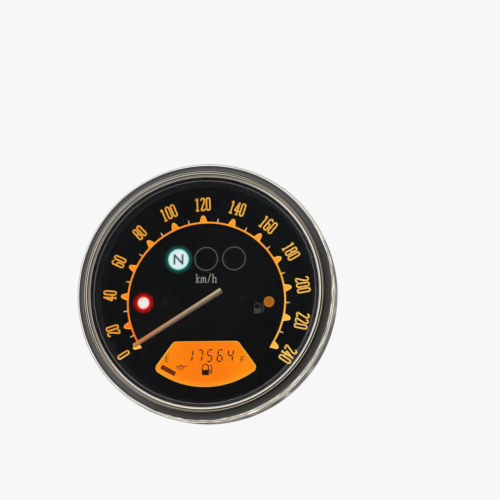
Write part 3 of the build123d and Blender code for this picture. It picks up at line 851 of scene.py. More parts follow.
def pointer_finish():
    """Painted pointer: cream near the hub, warmer and pinker towards the lit tip, darkened along
    one long side as painted shade.
    """
    finish = Finish("pointer_cream", roughness=0.4, specular_ior_level=0.4)
    x, _, z = finish.axes()
    tilt = radians(pointer_angle())
    along = (x - PIVOT[0]) * cos(tilt) + (z - PIVOT[1]) * sin(tilt)
    across = (z - PIVOT[1]) * cos(tilt) - (x - PIVOT[0]) * sin(tilt)
    c = colours()
    run = ((along + 10.0) / 50.0).ramp(
        (0.0, (0.78, 0.62, 0.36)), (0.35, c.pointer), (0.62, (0.70, 0.40, 0.20)),
        (0.78, (0.85, 0.30, 0.13)), (0.92, (0.85, 0.30, 0.11)), (1.0, (0.95, 0.42, 0.10)),
    )
    # Painted shade: lit marks the pointer's one long side, where its colour and glow are darkened
    # to stand for shade.
    lit = across.between(-0.25, 0.55)
    grain = finish.noise(2500.0, 2.0)
    unlit = finish.mix(lit, run, (0.25, 0.20, 0.15))
    finish.base(finish.mix(lit * 0.8, run, unlit))
    finish.glow(finish.mix(lit, run, (0.20, 0.14, 0.09)), 0.72)
    finish.roughness(0.35 + grain * 0.1)
    finish.bump(grain, 0.15, 0.01)
    return finish.material


def pointer_angle():
    """Direction of the pointer at rest, from its CAD node's box."""
    low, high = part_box("pointer")
    reach_x, reach_z = low.x / MM - PIVOT[0], low.z / MM - PIVOT[1]
    return degrees(atan2(reach_z, reach_x)) % 360.0


# ---- operators -------------------------------------------------------------------------------
class GAUGE_OT_bezel(bpy.types.Operator):
    """Chrome ring: double lip, groove, swept band, side wall and rolled back edge"""

    bl_idname = "gauge.bezel"
    bl_label = "Chrome ring"

    def execute(self, context):
        lip, wall = OPENING_R, BEZEL_R - 0.8
        crest_r, second_r, rolled_r = 1.6, 1.2, 0.8
        wall_top, wall_foot = 36.0, 31.0
        bore, rebate = 57.7, 57.2
        sweep_r = sizes().round_radius / MM
        sweep_centre = (BEZEL_R - sweep_r, LENS_FRONT - 3.9)
        foot_x, foot_y = lip + 2.65 - sweep_centre[0], BEZEL_FRONT - 0.5 - sweep_centre[1]
        sweep_start = degrees(atan2(foot_y, foot_x)) - 2.0
        profile = [(lip, LENS_FRONT), (lip, LENS_FRONT + 0.45)]
        profile += arc_points((lip + 0.3, LENS_FRONT + 0.55), 0.3, 180, 50, 6)
        profile += [(lip + 0.52, LENS_FRONT + 0.80), (lip + 0.58, LENS_FRONT + 1.45)]
        profile += arc_points((lip + 1.20, BEZEL_FRONT - crest_r), crest_r, 112, 75, 10)
        profile += [(lip + 1.66, BEZEL_FRONT - 0.45), (lip + 1.75, BEZEL_FRONT - 0.45)]
        profile += arc_points((lip + 2.12, BEZEL_FRONT - 0.05 - second_r), second_r, 107, 73, 8)
        profile += [(lip + 2.52, BEZEL_FRONT - 0.80), (lip + 2.62, BEZEL_FRONT - 0.80)]
        profile += arc_points(sweep_centre, sweep_r, sweep_start, 0, 28)
        profile += [(BEZEL_R, wall_top), (BEZEL_R, wall_foot)]
        profile += arc_points((wall, BEZEL_BACK + rolled_r), rolled_r, 0, -90, 6)
        profile += arc_points((rebate + 0.3, BEZEL_BACK + 0.3), 0.3, -90, -180, 3)
        profile += [(rebate, HOUSING_BACK - 0.02), (wall, HOUSING_BACK - 0.02), (wall, 40.7)]
        profile += [(bore, 42.2), (bore, LENS_FRONT)]
        hand_over(
            turned("bezel", profile), "chrome_bezel", "cluster", "chrome", chrome_finish(),
            "bezel_ring", sharp=28.0,
        )
        return {"FINISHED"}


class GAUGE_OT_window(bpy.types.Operator):
    """Lens and the two protector films that lie on it"""

    bl_idname = "gauge.window"
    bl_label = "Lens and films"

    def execute(self, context):
        refinish(glass_finish(), "lens")
        material = film_finish()
        for side in ("inner", "outer"):
            node = f"protector_film_{side}"
            back, front = height(node, 0), height(node, 1)
            edge = outer_radius(node)
            profile = [(edge - 1.0, back), (edge - 0.05, back), (edge, back + 0.05)]
            profile += [(edge, front - 0.05), (edge - 0.05, front), (edge - 1.0, front)]
            film = turned(node, profile, closed=False)
            body = f"film_{side}_group"
            hand_over(film, f"clear_film_{side}", body, "clear_film", material, node)
        return {"FINISHED"}


class GAUGE_OT_dial(bpy.types.Operator):
    """Finishes of the dial sheet, the ring between dial and lens, and the front housing"""

    bl_idname = "gauge.dial"
    bl_label = "Dial"

    def execute(self, context):
        refinish(dial_finish(), "dial_plate")
        black = moulded_finish("black_plastic", colours().plastic)
        refinish(black, "dial_shroud", "front_housing")
        refinish(moulded_finish("black_rubber", (0.012, 0.012, 0.012), 0.7, 700.0), "lens_gasket")
        return {"FINISHED"}


class GAUGE_OT_scale(bpy.types.Operator):
    """Printed speed scale: arc, markers, ticks and numerals"""

    bl_idname = "gauge.scale"
    bl_label = "Speed scale"

    def execute(self, context):
        edge = speed_glow("print_edge", True, 1.4)
        fill = speed_glow("print_fill", False, 1.15)
        tick = even_glow("print_ticks", colours().print_cream, 0.8)
        self.arc(fill)
        self.markers(edge, fill)
        self.ticks(tick)
        self.numerals(edge, speed_glow("print_inner", False, 0.55))
        return {"FINISHED"}

    @staticmethod
    def along_scale(speeds, lift):
        """Places on the scale's arc at some speeds, a lift above the recess of the dial."""
        angles = [speed_angle(speed) for speed in speeds]
        return [(angle - 90.0, from_pivot(SCALE_R, angle), RECESS_FRONT + lift) for angle in angles]

    def arc(self, material):
        """Line of the scale from the first to the last marker."""
        half = sizes().scale_line / MM / 2
        start, end = speed_angle(0), speed_angle(240)
        outline = arc_points(PIVOT, SCALE_R + half, start, end, 120)
        outline += arc_points(PIVOT, SCALE_R - half, end, start, 120)
        arc = shape_print("scale_arc", outline)
        turn_into_place(arc, level=RECESS_FRONT + 0.02)
        hand_over(arc, "scale_arc", "cluster", "dial_black", material)

    def markers(self, edge, fill):
        """Bell-shaped marker at each numeral, with a lighter rim."""
        waist = ((0.88, 0.08), (0.76, 0.30), (0.66, 0.52), (0.52, 0.74), (0.34, 0.90), (0.15, 0.98))
        for name, inset, lift, material in (
            ("marker_rims", 0.0, 0.03, edge),
            ("marker_fills", 0.3, 0.07, fill),
        ):
            reach, foot = 3.4 - inset, 1.95 - inset
            side = [(foot * wide, reach * tall) for wide, tall in waist]
            bell = [(-foot, -0.2), (foot, -0.2)] + side + [(-x, y) for x, y in reversed(side)]
            places = self.along_scale(range(0, 241, 20), lift)
            marks = repeated(name, shape_print(name, bell), places)
            hand_over(marks, name, "cluster", "dial_black", material)

    def ticks(self, material):
        """Short cream tick at each odd ten."""
        tick = shape_print("ticks", [(-0.3, 0.3), (0.3, 0.3), (0.2, 2.1), (-0.2, 2.1)])
        ticks = repeated("scale_ticks", tick, self.along_scale(range(10, 240, 20), 0.03))
        hand_over(ticks, "scale_ticks", "cluster", "dial_black", material)

    def numerals(self, edge, inner):
        """Narrow slab numerals in two layers, tops outwards."""
        high = sizes().numeral_height / MM
        pitch = 0.395 * high
        radius = sizes().numeral_radius / MM
        strokes = []
        for speed in range(0, 241, 20):
            angle = speed_angle(speed)
            label = str(speed)
            for index, digit in enumerate(label):
                shift = ((index - (len(label) - 1) / 2) * pitch, -high / 2)
                flat = placed(numeral_strokes(digit), high, shift)
                strokes += turned_points(flat, angle - 90.0, from_pivot(radius, angle))
        for name, width, lift, material in (
            ("numeral_rims", 0.62, 0.03, edge),
            ("numeral_fills", 0.24, 0.05, inner),
        ):
            lay(stroke_print(name, strokes, width), name, DIAL_FRONT + lift, material)


class GAUGE_OT_legends(bpy.types.Operator):
    """Unit, unlit symbols and the thin rings round the dark lamps"""

    bl_idname = "gauge.legends"
    bl_label = "Legends"

    def execute(self, context):
        level = RECESS_FRONT + 0.02
        x, y = PIVOT
        unit = self.unit_strokes((x + 0.5, y + 10.6))
        faint = [
            line(*arc_points((x + 18.0, y + 0.2), 1.5, 60, 250, 12)),
            line(*arc_points((x - 19.8, y - 0.1), 1.4, -150, 120, 12)),
        ]
        # Painted light: the unit, lamp rings, pump and faint legends are unlit prints, and their
        # glow brightens them as light falling on them would.
        pale = even_glow("print_pale", (0.52, 0.50, 0.42), 0.62)
        lay(stroke_print("unit", unit, 0.40), "unit_legend", level, pale)
        grey = even_glow("print_grey", colours().print_grey, 0.8)
        lay(stroke_print("rings", self.rings(), 0.34), "lamp_rings", DIAL_FRONT + 0.02, grey)
        dark = even_glow("print_dim", (0.10, 0.10, 0.104), 0.6)
        lay(pump_icon("pump", (x + 24.5, y - 3.6), 4.4, 0.34), "pump_legend", level, dark)
        darkest = even_glow("print_faint", (0.045, 0.045, 0.047), 0.6)
        lay(stroke_print("faint", faint, 0.3), "faint_legends", level, darkest)
        return {"FINISHED"}

    @staticmethod
    def rings():
        """Circle just inside the rim of each dark lamp."""
        low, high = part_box("dark_lamp_lenses")
        edge = (high.z - low.z) / 2 / MM
        y = (low.z + high.z) / 2 / MM
        middles = (low.x / MM + edge, high.x / MM - edge)
        return [(arc_points((x, y), edge - 0.2, 0, 354, 59), True) for x in middles]

    @staticmethod
    def unit_strokes(at):
        """Narrow serif letters of the speed unit."""
        low, waist, top = -0.5, 0.12, 0.5
        k = [
            line((-1.28, low), (-1.28, top)),
            line((-0.98, waist), (-1.26, -0.12), (-0.96, low)),
            line((-1.40, low), (-1.16, low)),
            line((-1.40, top), (-1.28, top)),
        ]
        m = [
            line((-0.72, low), (-0.72, waist)),
            line((-0.72, 0.02), (-0.55, waist), (-0.46, 0.0), (-0.46, low)),
            line((-0.46, 0.02), (-0.28, waist), (-0.20, 0.0), (-0.20, low)),
            line((-0.82, low), (-0.62, low)),
            line((-0.28, low), (-0.10, low)),
        ]
        slash = [line((0.10, low - 0.05), (0.42, top + 0.05))]
        h = [
            line((0.72, low), (0.72, top)),
            line((0.72, 0.0), (0.92, waist), (1.08, 0.0), (1.08, low)),
            line((0.60, low), (0.84, low)),
            line((0.98, low), (1.20, low)),
            line((0.60, top), (0.72, top)),
        ]
        return placed(k + m + slash + h, 3.8, at)


def pump_icon(name, at, high, width):
    """Fuel pump: outlined cabinet, filled lower half, and a hose at its right."""
    cabinet = [(-0.85, -1.0), (-0.85, 0.7), *arc_points((-0.25, 0.55), 0.5, 150, 30, 6)]
    cabinet += [(0.35, 0.7), (0.35, -1.0)]
    hose = [(0.35, -0.1), (0.62, -0.1), *arc_points((0.82, -0.5), 0.2, 180, 360, 6)]
    hose += [(1.02, 0.45), (0.7, 0.85)]
    tank = box_outline(-0.8, 0.3, -0.95, -0.05)
    cabinet, hose, tank = placed([(cabinet, True), (hose, False), (tank, True)], high / 2, at)
    lines = stroke_print(name, [cabinet, hose], width)
    return join(name, [lines, shape_print(name + "_tank", tank[0])])


class GAUGE_OT_lamps(bpy.types.Operator):
    """Telltale lenses, their painted glow on the dial and the neutral letter"""

    bl_idname = "gauge.lamps"
    bl_label = "Telltale lamps"

    def execute(self, context):
        c = colours()
        mint = (
            (0.0, (0.93, 1.0, 0.99)), (0.79, (0.88, 1.0, 0.97)), (0.83, (0.45, 0.92, 0.80)),
            (0.88, (0.13, 0.66, 0.52)), (0.94, (0.035, 0.24, 0.185)), (1.0, (0.009, 0.075, 0.058)),
        )
        red = (
            (0.0, (1.0, 1.0, 0.95)), (0.66, (1.0, 0.92, 0.82)), (0.77, (1.0, 0.12, 0.05)),
            (0.9, c.warning), (1.0, (0.55, 0.0, 0.0)),
        )
        amber = (
            (0.0, dim(c.fuel, 0.9)), (0.75, c.fuel), (0.9, (0.70, 0.26, 0.03)),
            (1.0, (0.35, 0.12, 0.02)),
        )
        for finish, lens, stops, reach, strength in (
            ("neutral_green", "neutral_lamp_lens", mint, 5.4, 0.95),
            ("warning_red", "warning_lamp_lens", red, 3.5, 1.0),
            ("fuel_amber", "fuel_lamp_lens", amber, 2.5, 0.75),
        ):
            refinish(lamp_finish(finish, centre(lens), stops, reach, strength), lens)
        smoked = moulded_finish("smoked_lens", (0.026, 0.026, 0.027), 0.35, 2500.0, 0.1)
        refinish(smoked, "dark_lamp_lenses")
        for name, lens, slot, shade, inner, reach, power in (
            (
                "neutral_glow", "neutral_lamp_lens", "neutral_green", (0.009, 0.08, 0.06),
                5.2, 7.4, 1.6,
            ),
            (
                "warning_glow", "warning_lamp_lens", "warning_red", (0.50, 0.0, 0.0),
                3.2, 5.6, 1.7,
            ),
        ):
            at = centre(lens)
            glow = turned(name, box_outline(inner - 0.1, reach, 0.0, 0.02), 64, at=at)
            turn_into_place(glow, level=DIAL_FRONT + 0.02)
            material = halo_finish(name, at, shade, inner, reach, 0.8, power)
            hand_over(glow, name, "cluster", slot, material)
        letter = [line((-1.9, -2.1), (-1.9, 2.1), (1.9, -2.1), (1.9, 2.1))]
        letter = placed(letter, 1.0, centre("neutral_lamp_lens"))
        sign = stroke_print("neutral_letter", letter, 0.95)
        level = height("neutral_lamp_lens", 1) + 0.01
        ink = even_glow("letter_ink", (0.10, 0.20, 0.19), 0.75)
        lay(sign, "neutral_letter", level, ink, "neutral_green")
        return {"FINISHED"}


SEGMENTS = {
    "top": ((0.0, 1.0), (1.0, 1.0)),
    "upper_left": ((0.0, 0.5), (0.0, 1.0)),
    "upper_right": ((1.0, 0.5), (1.0, 1.0)),
    "middle": ((0.0, 0.5), (1.0, 0.5)),
    "lower_left": ((0.0, 0.0), (0.0, 0.5)),
    "lower_right": ((1.0, 0.0), (1.0, 0.5)),
    "bottom": ((0.0, 0.0), (1.0, 0.0)),
}
DARK_SEGMENTS = {
    "1": ("upper_right", "lower_right"),
    "7": ("top", "upper_right", "lower_right"),
    "5": ("top", "upper_left", "middle", "lower_right", "bottom"),
    "6": ("top", "upper_left", "middle", "lower_left", "lower_right", "bottom"),
    "4": ("upper_left", "upper_right", "middle", "lower_right"),
    "E": ("top", "upper_left", "middle", "lower_left", "bottom"),
    "F": ("top", "upper_left", "middle", "lower_left"),
}


def eased(points, reach):
    """Closed outline with its sharp corners rounded by a reach in millimetres."""
    rounded = []
    for index, (x, y) in enumerate(points):
        (ax, ay), (bx, by) = points[index - 1], points[(index + 1) % len(points)]
        before, after = hypot(ax - x, ay - y), hypot(bx - x, by - y)
        if min(before, after) < reach:
            rounded.append((x, y))
            continue
        start = (x + (ax - x) * reach / before, y + (ay - y) * reach / before)
        end = (x + (bx - x) * reach / after, y + (by - y) * reach / after)
        for step in range(9):
            t = step / 8
            near, middle, far = (1 - t) ** 2, 2 * t * (1 - t), t * t
            rounded.append(
                tuple(near * s + middle * m + far * e for s, m, e in zip(start, (x, y), end))
            )
    return rounded


def window_outline():
    """Outline of the display's window: straight top, sloping sides and round bottom."""
    bottom = arc_points(PIVOT, 39.5, 236.0, 304.0, 30)
    left, right = from_pivot(39.2, 232.6), from_pivot(39.2, 307.4)
    top = [(PIVOT[0] + 14.9, PIVOT[1] - 18.5), (PIVOT[0] - 14.9, PIVOT[1] - 18.5)]
    return eased([left] + bottom + [right] + top, 1.9)


def segment_strokes(sign, wide, high, gap, at, slant=0.14):
    """Dark segments of one display sign; at is the middle of its foot."""
    strokes = []
    for name in DARK_SEGMENTS[sign]:
        ends = SEGMENTS[name]
        points = []
        for (x, y), (other_x, other_y) in (ends, ends[::-1]):
            px = (x - 0.5) * wide + gap * ((other_x > x) - (other_x < x))
            py = y * high + gap * ((other_y > y) - (other_y < y))
            points.append((at[0] + px + slant * py, at[1] + py))
        strokes.append(line(*points))
    return strokes


class GAUGE_OT_display(bpy.types.Operator):
    """Backlit display: glass, rim light, odometer, fuel bar and symbols"""

    bl_idname = "gauge.display"
    bl_label = "Display"

    def execute(self, context):
        refinish(display_finish(), "lcd_glass")
        x, y = PIVOT
        rim = [(window_outline(), True)]
        signs = []
        for sign, shift in zip("17564", (-7.7, -3.1, 1.5, 6.3, 11.1)):
            high = sizes().odometer_height / MM
            signs += segment_strokes(sign, 2.2, high, 0.34, (x + shift, y - 27.8))
        letters = segment_strokes("E", 1.4, 2.7, 0.1, (x - 18.1, y - 27.7))
        letters += segment_strokes("F", 1.4, 2.7, 0.1, (x + 16.8, y - 28.4))
        bar_angle = 241.2
        bar = shape_print("bar", box_outline(-3.75, 3.75, -1.05, 1.05))
        turn_into_place(bar, bar_angle - 270.0, from_pivot(36.2, bar_angle))
        can = [
            ([(-1.6, 0.2), (-1.3, -0.9), (0.9, -0.9), (1.4, 0.2)], True),
            line((1.4, 0.1), (2.3, 0.5), (3.0, 0.3)),
            line((-1.6, 0.1), (-2.5, 0.6)),
            line((0.0, 0.2), (0.0, 0.9)),
            line((-0.8, 0.9), (0.8, 0.9)),
        ]
        can = placed(can, 1.0, (x - 11.5, y - 30.3))
        ink = even_glow("display_ink", colours().display_ink, 0.3, 900.0)
        pale = even_glow("display_pale_ink", (0.30, 0.035, 0.004), 0.7, 900.0)
        rim_glow = even_glow("display_rim_glow", (1.0, 0.50, 0.06), 1.0)
        bar_ink = even_glow("fuel_bar_ink", (0.24, 0.035, 0.008), 0.75, 900.0)
        glass = height("lcd_glass", 1)
        for name, mark, lift, material in (
            ("display_rim", stroke_print("rim", rim, 0.5), 0.02, rim_glow),
            ("odometer_digits", stroke_print("odometer", signs, 0.6), 0.05, ink),
            ("fuel_letters", stroke_print("letters", letters, 0.42), 0.05, pale),
            ("fuel_bar", bar, 0.05, bar_ink),
            ("display_pump", pump_icon("pump", (x + 0.5, y - 31.5), 4.7, 0.46), 0.05, ink),
            ("oil_can", stroke_print("can", can, 0.36), 0.05, pale),
        ):
            lay(mark, name, glass + lift, material, "lcd_orange")
        return {"FINISHED"}


class GAUGE_OT_pointer(bpy.types.Operator):
    """Pointer bar with softened edges, and its hub"""

    bl_idname = "gauge.pointer"
    bl_label = "Pointer"

    def execute(self, context):
        bar = softened_copy("pointer", 0.12)
        hand_over(
            bar, "pointer_bar", "pointer_group", "pointer_cream", pointer_finish(), "pointer",
            stand=False,
        )
        gloss = moulded_finish("hub_black", (0.02, 0.02, 0.02), 0.3, 2500.0, 0.1)
        refinish(gloss, "pointer_hub")
        return {"FINISHED"}


class GAUGE_OT_rear(bpy.types.Operator):
    """Rear case with stiffening ribs, its seal and flange screws"""

    bl_idname = "gauge.rear"
    bl_label = "Rear case"

    def execute(self, context):
        black = moulded_finish("case_plastic", colours().plastic, 0.52, 1100.0, 0.5)
        case = softened_copy("rear_case", 0.35)
        hand_over(
            case, "case_shell", "cluster", "black_plastic", black, "rear_case", stand=False
        )
        self.ribs(black)
        steel = metal_finish("zinc_steel", colours().steel, 0.28)
        screws = softened_copy("case_screws", 0.12)
        hand_over(
            screws, "flange_screws", "cluster", "steel", steel, "case_screws", stand=False
        )
        refinish(moulded_finish("seal_rubber", (0.012, 0.012, 0.012), 0.7, 700.0), "case_seal")
        return {"FINISHED"}

    def ribs(self, material):
        """Low ribs down the side of the case, and two moulded rings on its back."""
        rib_r = 52.4
        back, flange = 4.0, 25.5
        ring_back = back - 0.5
        deselect()
        bpy.ops.mesh.primitive_cube_add(size=1.0)
        rib = bpy.context.object
        rib.dimensions = (1.6 * MM, 1.4 * MM, (flange - back - 4.0) * MM)
        bpy.ops.object.transform_apply(location=False, rotation=False, scale=True)
        edit(rib)
        pick(rib, lambda x, y, z: z < 0 and y > 0)
        bpy.ops.transform.translate(value=(0, -0.9 * MM, 0))
        close_edit()
        bevel(rib, 0.3, 30.0)
        places = []
        for index in range(24):
            angle = 7.5 + index * 15.0
            if min(abs((angle - screw + 180) % 360 - 180) for screw in SCREW_ANGLES) < 8.0:
                continue
            at = rib_r * cos(radians(angle)), rib_r * sin(radians(angle))
            places.append((angle - 90.0, at, (flange + back + 4.0) / 2 + 0.1))
        pieces = [repeated("ribs", rib, places)]
        for inner, outer in ((45.4, 46.8), (8.6, 9.8)):
            section = [(inner, back + 0.2), (inner, ring_back + 0.2), (inner + 0.3, ring_back)]
            section += [(outer - 0.3, ring_back), (outer, ring_back + 0.2), (outer, back + 0.2)]
            pieces.append(turned("case_ring", section))
        hand_over(join("case_ribs", pieces), "case_ribs", "cluster", "black_plastic", material)


class GAUGE_OT_studs(bpy.types.Operator):
    """Threaded mounting studs"""

    bl_idname = "gauge.studs"
    bl_label = "Studs"

    def execute(self, context):
        tip = height("mount_studs", 0)
        crest, pitch = 2.5, 0.8
        root = crest - 0.34
        profile = [(0.9, tip), (crest - 0.7, tip), (root, tip + 0.5)]
        level = tip + 0.6
        while level < -1.4:
            profile += [(crest, level + pitch * 0.3), (crest, level + pitch * 0.45)]
            profile += [(root, level + pitch * 0.85)]
            level += pitch
        profile += [(root, -0.9), (2.2, -0.6), (2.2, 6.0), (0.9, 6.0)]
        circle_r = STUD_CIRCLE / 2
        places = [
            (angle, (circle_r * cos(radians(angle)), circle_r * sin(radians(angle))), 0.0)
            for angle in STUD_ANGLES
        ]
        studs = repeated("threaded_studs", turned("stud", profile, 48, closed=False), places)
        steel = metal_finish("stud_steel", colours().steel, 0.26, (1.0, 3.0, 1.0), 900.0)
        hand_over(
            studs, "threaded_studs", "cluster", "steel", steel, "mount_studs", sharp=30.0
        )
        return {"FINISHED"}


class GAUGE_OT_fittings(bpy.types.Operator):
    """Wiring socket with its contacts, breather vent and trip button"""

    bl_idname = "gauge.fittings"
    bl_label = "Rear fittings"

    def execute(self, context):
        satin = moulded_finish("socket_plastic", dim(colours().plastic, 1.2), 0.42, 1800.0, 0.25)
        gloss = moulded_finish("vent_plastic", (0.018, 0.018, 0.019), 0.35, 2200.0, 0.12)
        rubber = moulded_finish("button_rubber", (0.014, 0.014, 0.014), 0.68, 900.0, 0.4)
        tin = metal_finish("tin_plate", (0.72, 0.71, 0.68), 0.25)
        for node, name, body, slot, width, material in (
            ("connector_shell", "wiring_socket", "cluster", "black_plastic", 0.25, satin),
            ("connector_pins", "socket_contacts", "cluster", "tin", 0.12, tin),
            ("breather_vent", "vent_cap", "cluster", "hub_black", 0.25, gloss),
            ("mode_button", "trip_button", "button_group", "black_rubber", 0.2, rubber),
        ):
            piece = softened_copy(node, width)
            hand_over(piece, name, body, slot, material, node, stand=False)
        refinish(rubber, "button_seal")
        membrane = moulded_finish("vent_membrane", (0.75, 0.75, 0.74), 0.8, 4000.0, 0.6)
        refinish(membrane, "vent_membrane")
        return {"FINISHED"}


class GAUGE_OT_insides(bpy.types.Operator):
    """Finishes of the pieces inside: light box, circuit board and pointer motor"""

    bl_idname = "gauge.insides"
    bl_label = "Insides"

    def execute(self, context):
        white = moulded_finish("white_plastic", (0.80, 0.80, 0.77), 0.55, 1600.0, 0.15)
        dark = moulded_finish("chip_black", (0.02, 0.02, 0.021), 0.5, 2600.0, 0.3)
        acetal = moulded_finish("acetal", (0.78, 0.76, 0.68), 0.4, 1400.0, 0.12)
        steel = metal_finish("inner_steel", colours().steel, 0.3)
        guide = moulded_finish("light_guide", (0.72, 0.76, 0.74), 0.2, 1200.0, 0.05)
        board = moulded_finish("board_green", (0.015, 0.12, 0.05), 0.35, 600.0, 0.1)
        case = moulded_finish("motor_black", (0.03, 0.03, 0.031), 0.5)
        wire = metal_finish("copper_wire", (0.72, 0.32, 0.14), 0.3, (1.0, 9.0, 1.0))
        chips = ("microcontroller", "regulator", "board_resistors")
        finishes = (
            (white, ("light_box", "lcd_diffuser", "indicator_leds", "backlight_leds")),
            (guide, ("light_guide",)),
            (board, ("main_board",)),
            (dark, (*chips, "button_switch", "switch_plunger")),
            (moulded_finish("frame_black", colours().plastic), ("lcd_frame", "lcd_zebra_strips")),
            (case, ("motor_case_front", "motor_case_rear")),
            (metal_finish("can_aluminium", (0.78, 0.78, 0.79), 0.3), ("capacitors",)),
            (metal_finish("core_iron", (0.36, 0.35, 0.34), 0.4), ("stator_core",)),
            (wire, ("motor_coils",)),
            (metal_finish("magnet_grey", (0.16, 0.16, 0.17), 0.5), ("rotor_magnet",)),
            (steel, ("board_screws", "motor_pins")),
            (acetal, ("pointer_shaft", "intermediate_gear", "rotor_pinion")),
        )
        for material, nodes in finishes:
            refinish(material, *nodes)
        return {"FINISHED"}


# Shades of the reflected room from ahead of the dial, at 0, to behind it, at 1.
KEY_SIDE = (
    (0.0, 0.02), (0.03, 0.03), (0.06, (0.50, 0.44, 0.34)), (0.12, (0.80, 0.77, 0.70)),
    (0.18, (1.0, 0.99, 0.96)), (0.34, (0.72, 0.71, 0.69)), (0.46, (0.42, 0.42, 0.41)),
    (0.62, (0.34, 0.34, 0.335)), (0.67, 0.05), (0.69, 0.9), (0.70, 1.0), (0.745, 1.0),
    (0.77, (0.14, 0.13, 0.115)), (0.80, (0.42, 0.37, 0.29)), (0.87, (0.55, 0.51, 0.44)),
    (0.91, (0.18, 0.175, 0.165)), (1.0, 0.05),
)
LOW_SIDE = (
    (0.0, 0.02), (0.03, 0.03), (0.06, (0.36, 0.32, 0.23)), (0.16, (0.34, 0.32, 0.28)),
    (0.24, 0.42), (0.48, 0.50), (0.52, 0.02), (0.56, 0.02), (0.58, (0.75, 0.72, 0.62)),
    (0.63, (1.0, 0.98, 0.92)), (0.66, (0.12, 0.11, 0.09)), (0.72, (0.50, 0.44, 0.33)),
    (0.77, (0.04, 0.04, 0.038)), (0.85, (1.0, 0.98, 0.93)), (0.89, (0.30, 0.27, 0.20)),
    (0.93, 0.03), (0.97, (0.42, 0.39, 0.33)), (1.0, (0.10, 0.097, 0.09)),
)


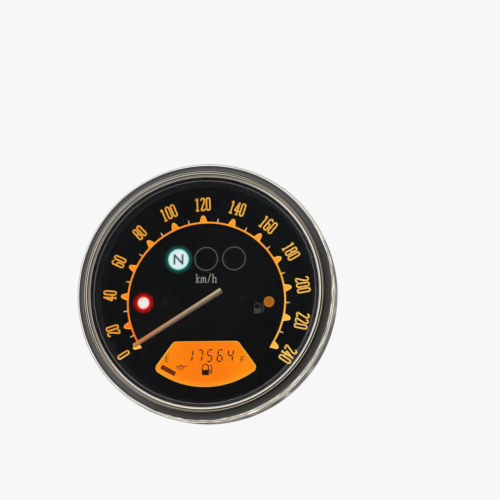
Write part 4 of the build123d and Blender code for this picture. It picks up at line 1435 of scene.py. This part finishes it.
class GAUGE_OT_studio(bpy.types.Operator):
    """Floor, soft lights, sky and camera"""

    bl_idname = "gauge.studio"
    bl_label = "Studio"

    def execute(self, context):
        self.floor()
        self.sky(context.scene)
        self.lights()
        self.camera(context.scene)
        context.scene.view_settings.view_transform = "Standard"
        return {"FINISHED"}

    @staticmethod
    def floor():
        """Pale round floor under the gauge, which mirrors don't show."""
        deselect()
        bpy.ops.mesh.primitive_circle_add(
            vertices=96, radius=1.6, fill_type="NGON", location=(0, 0, -sizes().floor_drop)
        )
        floor = bpy.context.object
        edit(floor)
        bpy.ops.mesh.select_all(action="SELECT")
        bpy.ops.mesh.extrude_region_move(TRANSFORM_OT_translate={"value": (0, 0, -0.01)})
        weld(0.001)
        close_edit()
        floor.name = "studio_floor"
        finish = Finish("studio_floor", roughness=0.85, specular_ior_level=0.2)
        speck = finish.noise(300.0, 3.0)
        shade = colours().floor
        finish.base(speck.ramp((0.3, dim(shade, 0.98)), (0.7, shade)))
        floor.data.materials.append(finish.material)
        floor.visible_glossy = False

    @staticmethod
    def sky(scene):
        """Pale even backdrop, and a shaded room that only glossy rays see, as on a chrome ring."""
        world = bpy.data.worlds.new("studio_sky")
        scene.world = world
        world.use_nodes = True
        world.node_tree.nodes.clear()
        nodes = Nodes(world.node_tree, "Generated")
        across, depth, up = nodes.axes(1.0)
        turn = (depth + 1.0) / 2.0
        waves = (nodes.noise(6.0, 2.0) - 0.5) * turn.between(0.50, 0.62)
        upper_left = (up - across).between(-0.35, 0.35)
        low_side = (turn + waves * 0.5).ramp(*LOW_SIDE)
        key_side = (turn + waves * 0.08).ramp(*KEY_SIDE)
        shade = nodes.mix(upper_left, low_side, key_side)
        plain = {"Color": (0.93, 0.93, 0.935), "Strength": 1.0}
        nodes.show(
            nodes.node("ShaderNodeOutputWorld"),
            nodes.value("Is Glossy Ray", "ShaderNodeLightPath"),
            nodes.node("ShaderNodeBackground", None, plain),
            nodes.node("ShaderNodeBackground", None, {"Color": shade, "Strength": 1.6}),
        )

    @staticmethod
    def lights():
        """Soft panels round the gauge, hidden from the camera and from mirrors."""
        for name, place, wide, high, power, shade in (
            ("key_panel", (-0.55, -0.75, 0.65), 0.6, 0.6, 3.2, (1.0, 0.98, 0.95)),
            ("warm_panel", (0.50, -0.95, 0.30), 0.25, 0.5, 1.0, (1.0, 0.86, 0.68)),
            ("side_panel", (0.95, -0.10, -0.10), 0.35, 0.7, 1.4, (1.0, 0.97, 0.92)),
            ("low_panel", (0.25, -0.75, -0.10), 0.5, 0.12, 0.4, (1.0, 0.95, 0.88)),
            ("back_panel", (0.45, 0.95, 0.70), 0.8, 0.8, 2.6, (1.0, 1.0, 1.0)),
            ("rear_fill", (-0.85, 0.70, 0.25), 0.5, 0.8, 1.6, (0.95, 0.97, 1.0)),
        ):
            data = bpy.data.lights.new(name, "AREA")
            data.shape = "RECTANGLE"
            data.size, data.size_y = wide, high
            data.energy = power
            data.color = shade
            lamp = bpy.data.objects.new(name, data)
            bpy.context.scene.collection.objects.link(lamp)
            lamp.location = place
            lamp.rotation_mode = "QUATERNION"
            lamp.rotation_quaternion = (Vector((0, 0, 0)) - Vector(place)).to_track_quat("-Z", "Y")
            lamp.visible_camera = False
            lamp.visible_glossy = False

    @staticmethod
    def camera(scene):
        """Camera a little right of and below the dial's axis, aimed up and to the right of it."""
        azimuth, elevation, roll = radians(10.0), radians(-7.8), radians(0.51)
        distance = 0.6483
        aim_right, aim_up = tan(radians(1.85)), tan(radians(1.68))
        target = Vector((0.0, -0.042, 0.0))
        flat = cos(elevation)
        back = Vector((sin(azimuth) * flat, -cos(azimuth) * flat, sin(elevation)))
        level_right = Vector((cos(azimuth), sin(azimuth), 0.0))
        level_up = back.cross(level_right)
        right = level_right * cos(roll) + level_up * sin(roll)
        up = back.cross(right)
        ahead = (-back + right * aim_right + up * aim_up).normalized()
        side = (right - ahead * right.dot(ahead)).normalized()
        top = side.cross(ahead)
        data = bpy.data.cameras.new("camera")
        data.sensor_width = 36.0
        data.lens = 101.7
        camera = bpy.data.objects.new("camera", data)
        scene.collection.objects.link(camera)
        turn = Matrix((side, top, -ahead)).transposed().to_4x4()
        camera.matrix_world = Matrix.Translation(target + back * distance) @ turn
        scene.camera = camera


class GAUGE_PT_panel(bpy.types.Panel):
    """Lists the steps of the gauge in the 3D view's sidebar"""

    bl_idname = "GAUGE_PT_panel"
    bl_label = "Instrument cluster"
    bl_space_type = "VIEW_3D"
    bl_region_type = "UI"
    bl_category = "Gauge"

    def draw(self, context):
        for operator in OPERATORS:
            self.layout.operator(operator.bl_idname)
        for group in (context.scene.gauge_sizes, context.scene.gauge_colours):
            for name in group.__annotations__:
                self.layout.prop(group, name)


OPERATORS = (
    GAUGE_OT_bezel,
    GAUGE_OT_window,
    GAUGE_OT_dial,
    GAUGE_OT_scale,
    GAUGE_OT_legends,
    GAUGE_OT_lamps,
    GAUGE_OT_display,
    GAUGE_OT_pointer,
    GAUGE_OT_rear,
    GAUGE_OT_studs,
    GAUGE_OT_fittings,
    GAUGE_OT_insides,
    GAUGE_OT_studio,
)
CLASSES = (GaugeSizes, GaugeColours, *OPERATORS, GAUGE_PT_panel)


def register():
    """Registers the classes and hangs the properties on the scene."""
    for made in CLASSES:
        bpy.utils.register_class(made)
    bpy.types.Scene.gauge_sizes = PointerProperty(type=GaugeSizes)
    bpy.types.Scene.gauge_colours = PointerProperty(type=GaugeColours)


def unregister():
    """Undoes register."""
    del bpy.types.Scene.gauge_colours
    del bpy.types.Scene.gauge_sizes
    for made in reversed(CLASSES):
        bpy.utils.unregister_class(made)


def main():
    register()
    for operator in OPERATORS:
        group, name = operator.bl_idname.split(".")
        getattr(getattr(bpy.ops, group), name)()
    deselect()


if __name__ == "__main__":
    main()
